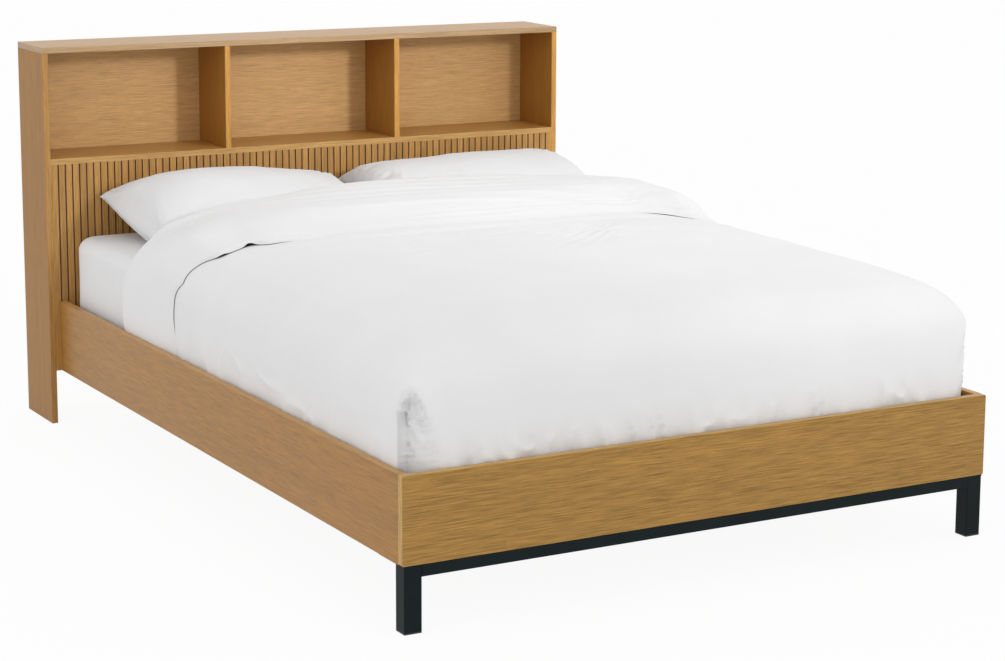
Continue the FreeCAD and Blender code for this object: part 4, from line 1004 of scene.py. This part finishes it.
def lower_heights(points):
    """Heights of the lower layer's folds, in metres."""
    x, y, z = points.T
    along = y - (.60 - z).clip(0) * (y < -.98)
    around = down_the_side(x, z)
    top = fade(z, .50, .56)
    total = .0030 * hills(1, around * 3.2, along * 3.2) * top + .0008 * hills(2, around * 12, along * 12)
    # the valley in front of the hem, with its streaks
    valley = bump_at(y, -.22, .10) * fade(x, -.42, -.20) * fade(x, .45, .25) * top
    total -= .0034 * valley * streaks(y - .06 * x, x, .019, .45, 5)
    total -= .0038 * top * (y < .05) * fan_of(x, y, (.50, -.04), .068, 15)
    total -= .0035 * bump_at(y, -.06, .05) * fade(x, -.40, -.10) * top
    total += .0010 * top * np.clip(creases(y, x, .075, .80, 12, 3), -.3, 1)
    # scallops where the side goes down behind the rail, and gathers behind the footboard
    rail = fade(z, .42, .33) * fade(y, FOOT + .02, FOOT + .12) * (np.abs(x) > .6)
    total += .0045 * rail * (creases(along, z, .060, .09, 8, 6) - .5)
    foot = fade(z, .40, .31) * fade(y, FOOT + .03, FOOT + .004) * fade(np.abs(x), .63, .55)
    total += .0068 * foot * (creases(x, z, .024, .09, 12, 7) - .5)
    # the cloth folds into itself at the foot corners, deeper at the left one
    run = round_corner(x, y)
    cleft = through(z, (.29, .012), (.40, .013), (.44, .022), (.475, .036))
    end = through(z, (.29, .112), (.35, .096), (.43, .064), (.475, .042))
    inside = fade(run, cleft - .0015, cleft + .0020) * (1 - ((run - cleft) / (end - cleft)).clip(0, 1) ** 2.6)
    drawn = inside * fade(z, .475, .435) * (y < FOOT + .06) * np.where(x < 0, 1, .25)
    total -= .0185 * drawn
    total += .0090 * np.sqrt(drawn) * (creases(run + .7 * z, z - .7 * run, .0110, .09, 0, 8) - .25)
    total += .0100 * drawn * bump_at(run, cleft + .0105, .0035) * fade(z, .455, .43)
    beside = bump_at(run, cleft - .012, .012) * fade(z, .46, .40) * (y < FOOT + .09)
    total -= .0030 * beside * (1 - np.abs(hills(18, z * 38, run * 8)))
    under_band = fade(y, np.where(x < 0, .06, -.15), np.where(x < 0, .12, -.09))
    hem_here = through(x, (.41, -.03), (.54, -.07), (.60, -.13), (.687, -.13))
    under_band = np.where(z > .50, fade(y, hem_here - .03, hem_here + .01), under_band)
    return total * (1 - under_band)


def band_heights(grid):
    """Heights of the turned-back band's folds, in metres."""
    x, y, z = grid.reshape(-1, 3).T
    around = down_the_side(x, z)
    behind = y - np.tile(hem_y, band_rows)
    total = .0036 * hills(31, around * 3.6, y * 3.6) + .0011 * hills(32, around * 11, y * 11)
    near = fade(behind, .15, 0) * fade(x, -.36, -.15) * fade(z, .52, .56)
    total -= .0030 * near * streaks(y + .05 * x, x, .020, .45, 33)
    # a swirl at the hem's right end, and long waves along the roll
    away, angle = np.hypot(x - .56, (behind - .06) / 1.6), np.arctan2(behind - .06, x - .56)
    swirl = creases(away, angle * .08, .014, .09, 0, 37)
    total += .0030 * bump_at(x, .57, .10) * bump_at(behind, .10, .12) * swirl
    waves = streaks(y + .14 * around, around, .080, .90, 34) - .35
    total += .0018 * waves * fade(behind, 0, .1) * fade(z, .50, .56)
    # puckers where the hem stands open at the left
    for middle in HEM_OPENINGS:
        away, angle = np.hypot(x - middle, behind), np.arctan2(x - middle, behind + .03)
        pucker = .5 - np.abs(hills(36, angle * 5, away * 6))
        total += .0022 * pucker * bump_at(away, .05, .04) * fade(z, .50, .54)
    side = fade(z, .52, .40)
    total *= 1 - .70 * side
    total += .0014 * side * creases(around, y, .030, .20, 4, 35)
    return total.clip(-.005, .008).reshape(grid.shape[:2])


lower_outer += point_normals(lower_outer, lower_quads) * lower_heights(lower_outer)[:, None]
thick_enough = fade(np.linalg.norm(band_outer - band_inner, axis=2), .001, .016)
normals = point_normals(band_outer.reshape(-1, 3), band_quads).reshape(band_outer.shape)
band_outer += normals * (band_heights(band_outer) * thick_enough)[..., None]

# the folds at the foot corners stop outside the mattress, and nothing reaches the rails or the footboard
nearest, outmost = BED_CORNER + .0015, WIDE + .0008
corner = np.array((BED_X - BED_CORNER, BED_Y + BED_CORNER))
from_corner = np.column_stack([np.abs(lower_outer[:, 0]), lower_outer[:, 1]]) - corner
reach = np.hypot(*from_corner.T)
close = (from_corner[:, 0] > 0) & (from_corner[:, 1] < 0) & (reach < nearest) & (lower_outer[:, 2] < .475)
pushed = corner + from_corner[close] * nearest / reach[close, None]
lower_outer[close, 0] = np.sign(lower_outer[close, 0]) * pushed[:, 0]
lower_outer[close, 1] = pushed[:, 1]
for points in (lower_outer, band_outer.reshape(-1, 3)):
    points[:, 0] = points[:, 0].clip(-outmost, outmost)
    points[:, 1] = np.maximum(points[:, 1], FOOT - .0006)
print("folds made")

# %% Duvet as one piece
lower_count, band_count = len(lower_outer), band_numbers.size
faces = [lower_quads, lower_quads[:, ::-1] + lower_count, band_between(lower_rim, lower_rim + lower_count)]
band_rim = rim_of(band_numbers)
for piece in (band_quads, band_quads[:, ::-1] + band_count, band_between(band_rim, band_rim + band_count)):
    faces.append(piece + 2 * lower_count)
points = np.concatenate([lower_outer, lower_inner, band_outer.reshape(-1, 3), band_inner.reshape(-1, 3)])
faces = np.concatenate(faces).tolist()
duvet = add_piece("duvet_cover", points, faces, duvet_cotton, "duvet", "duvet")
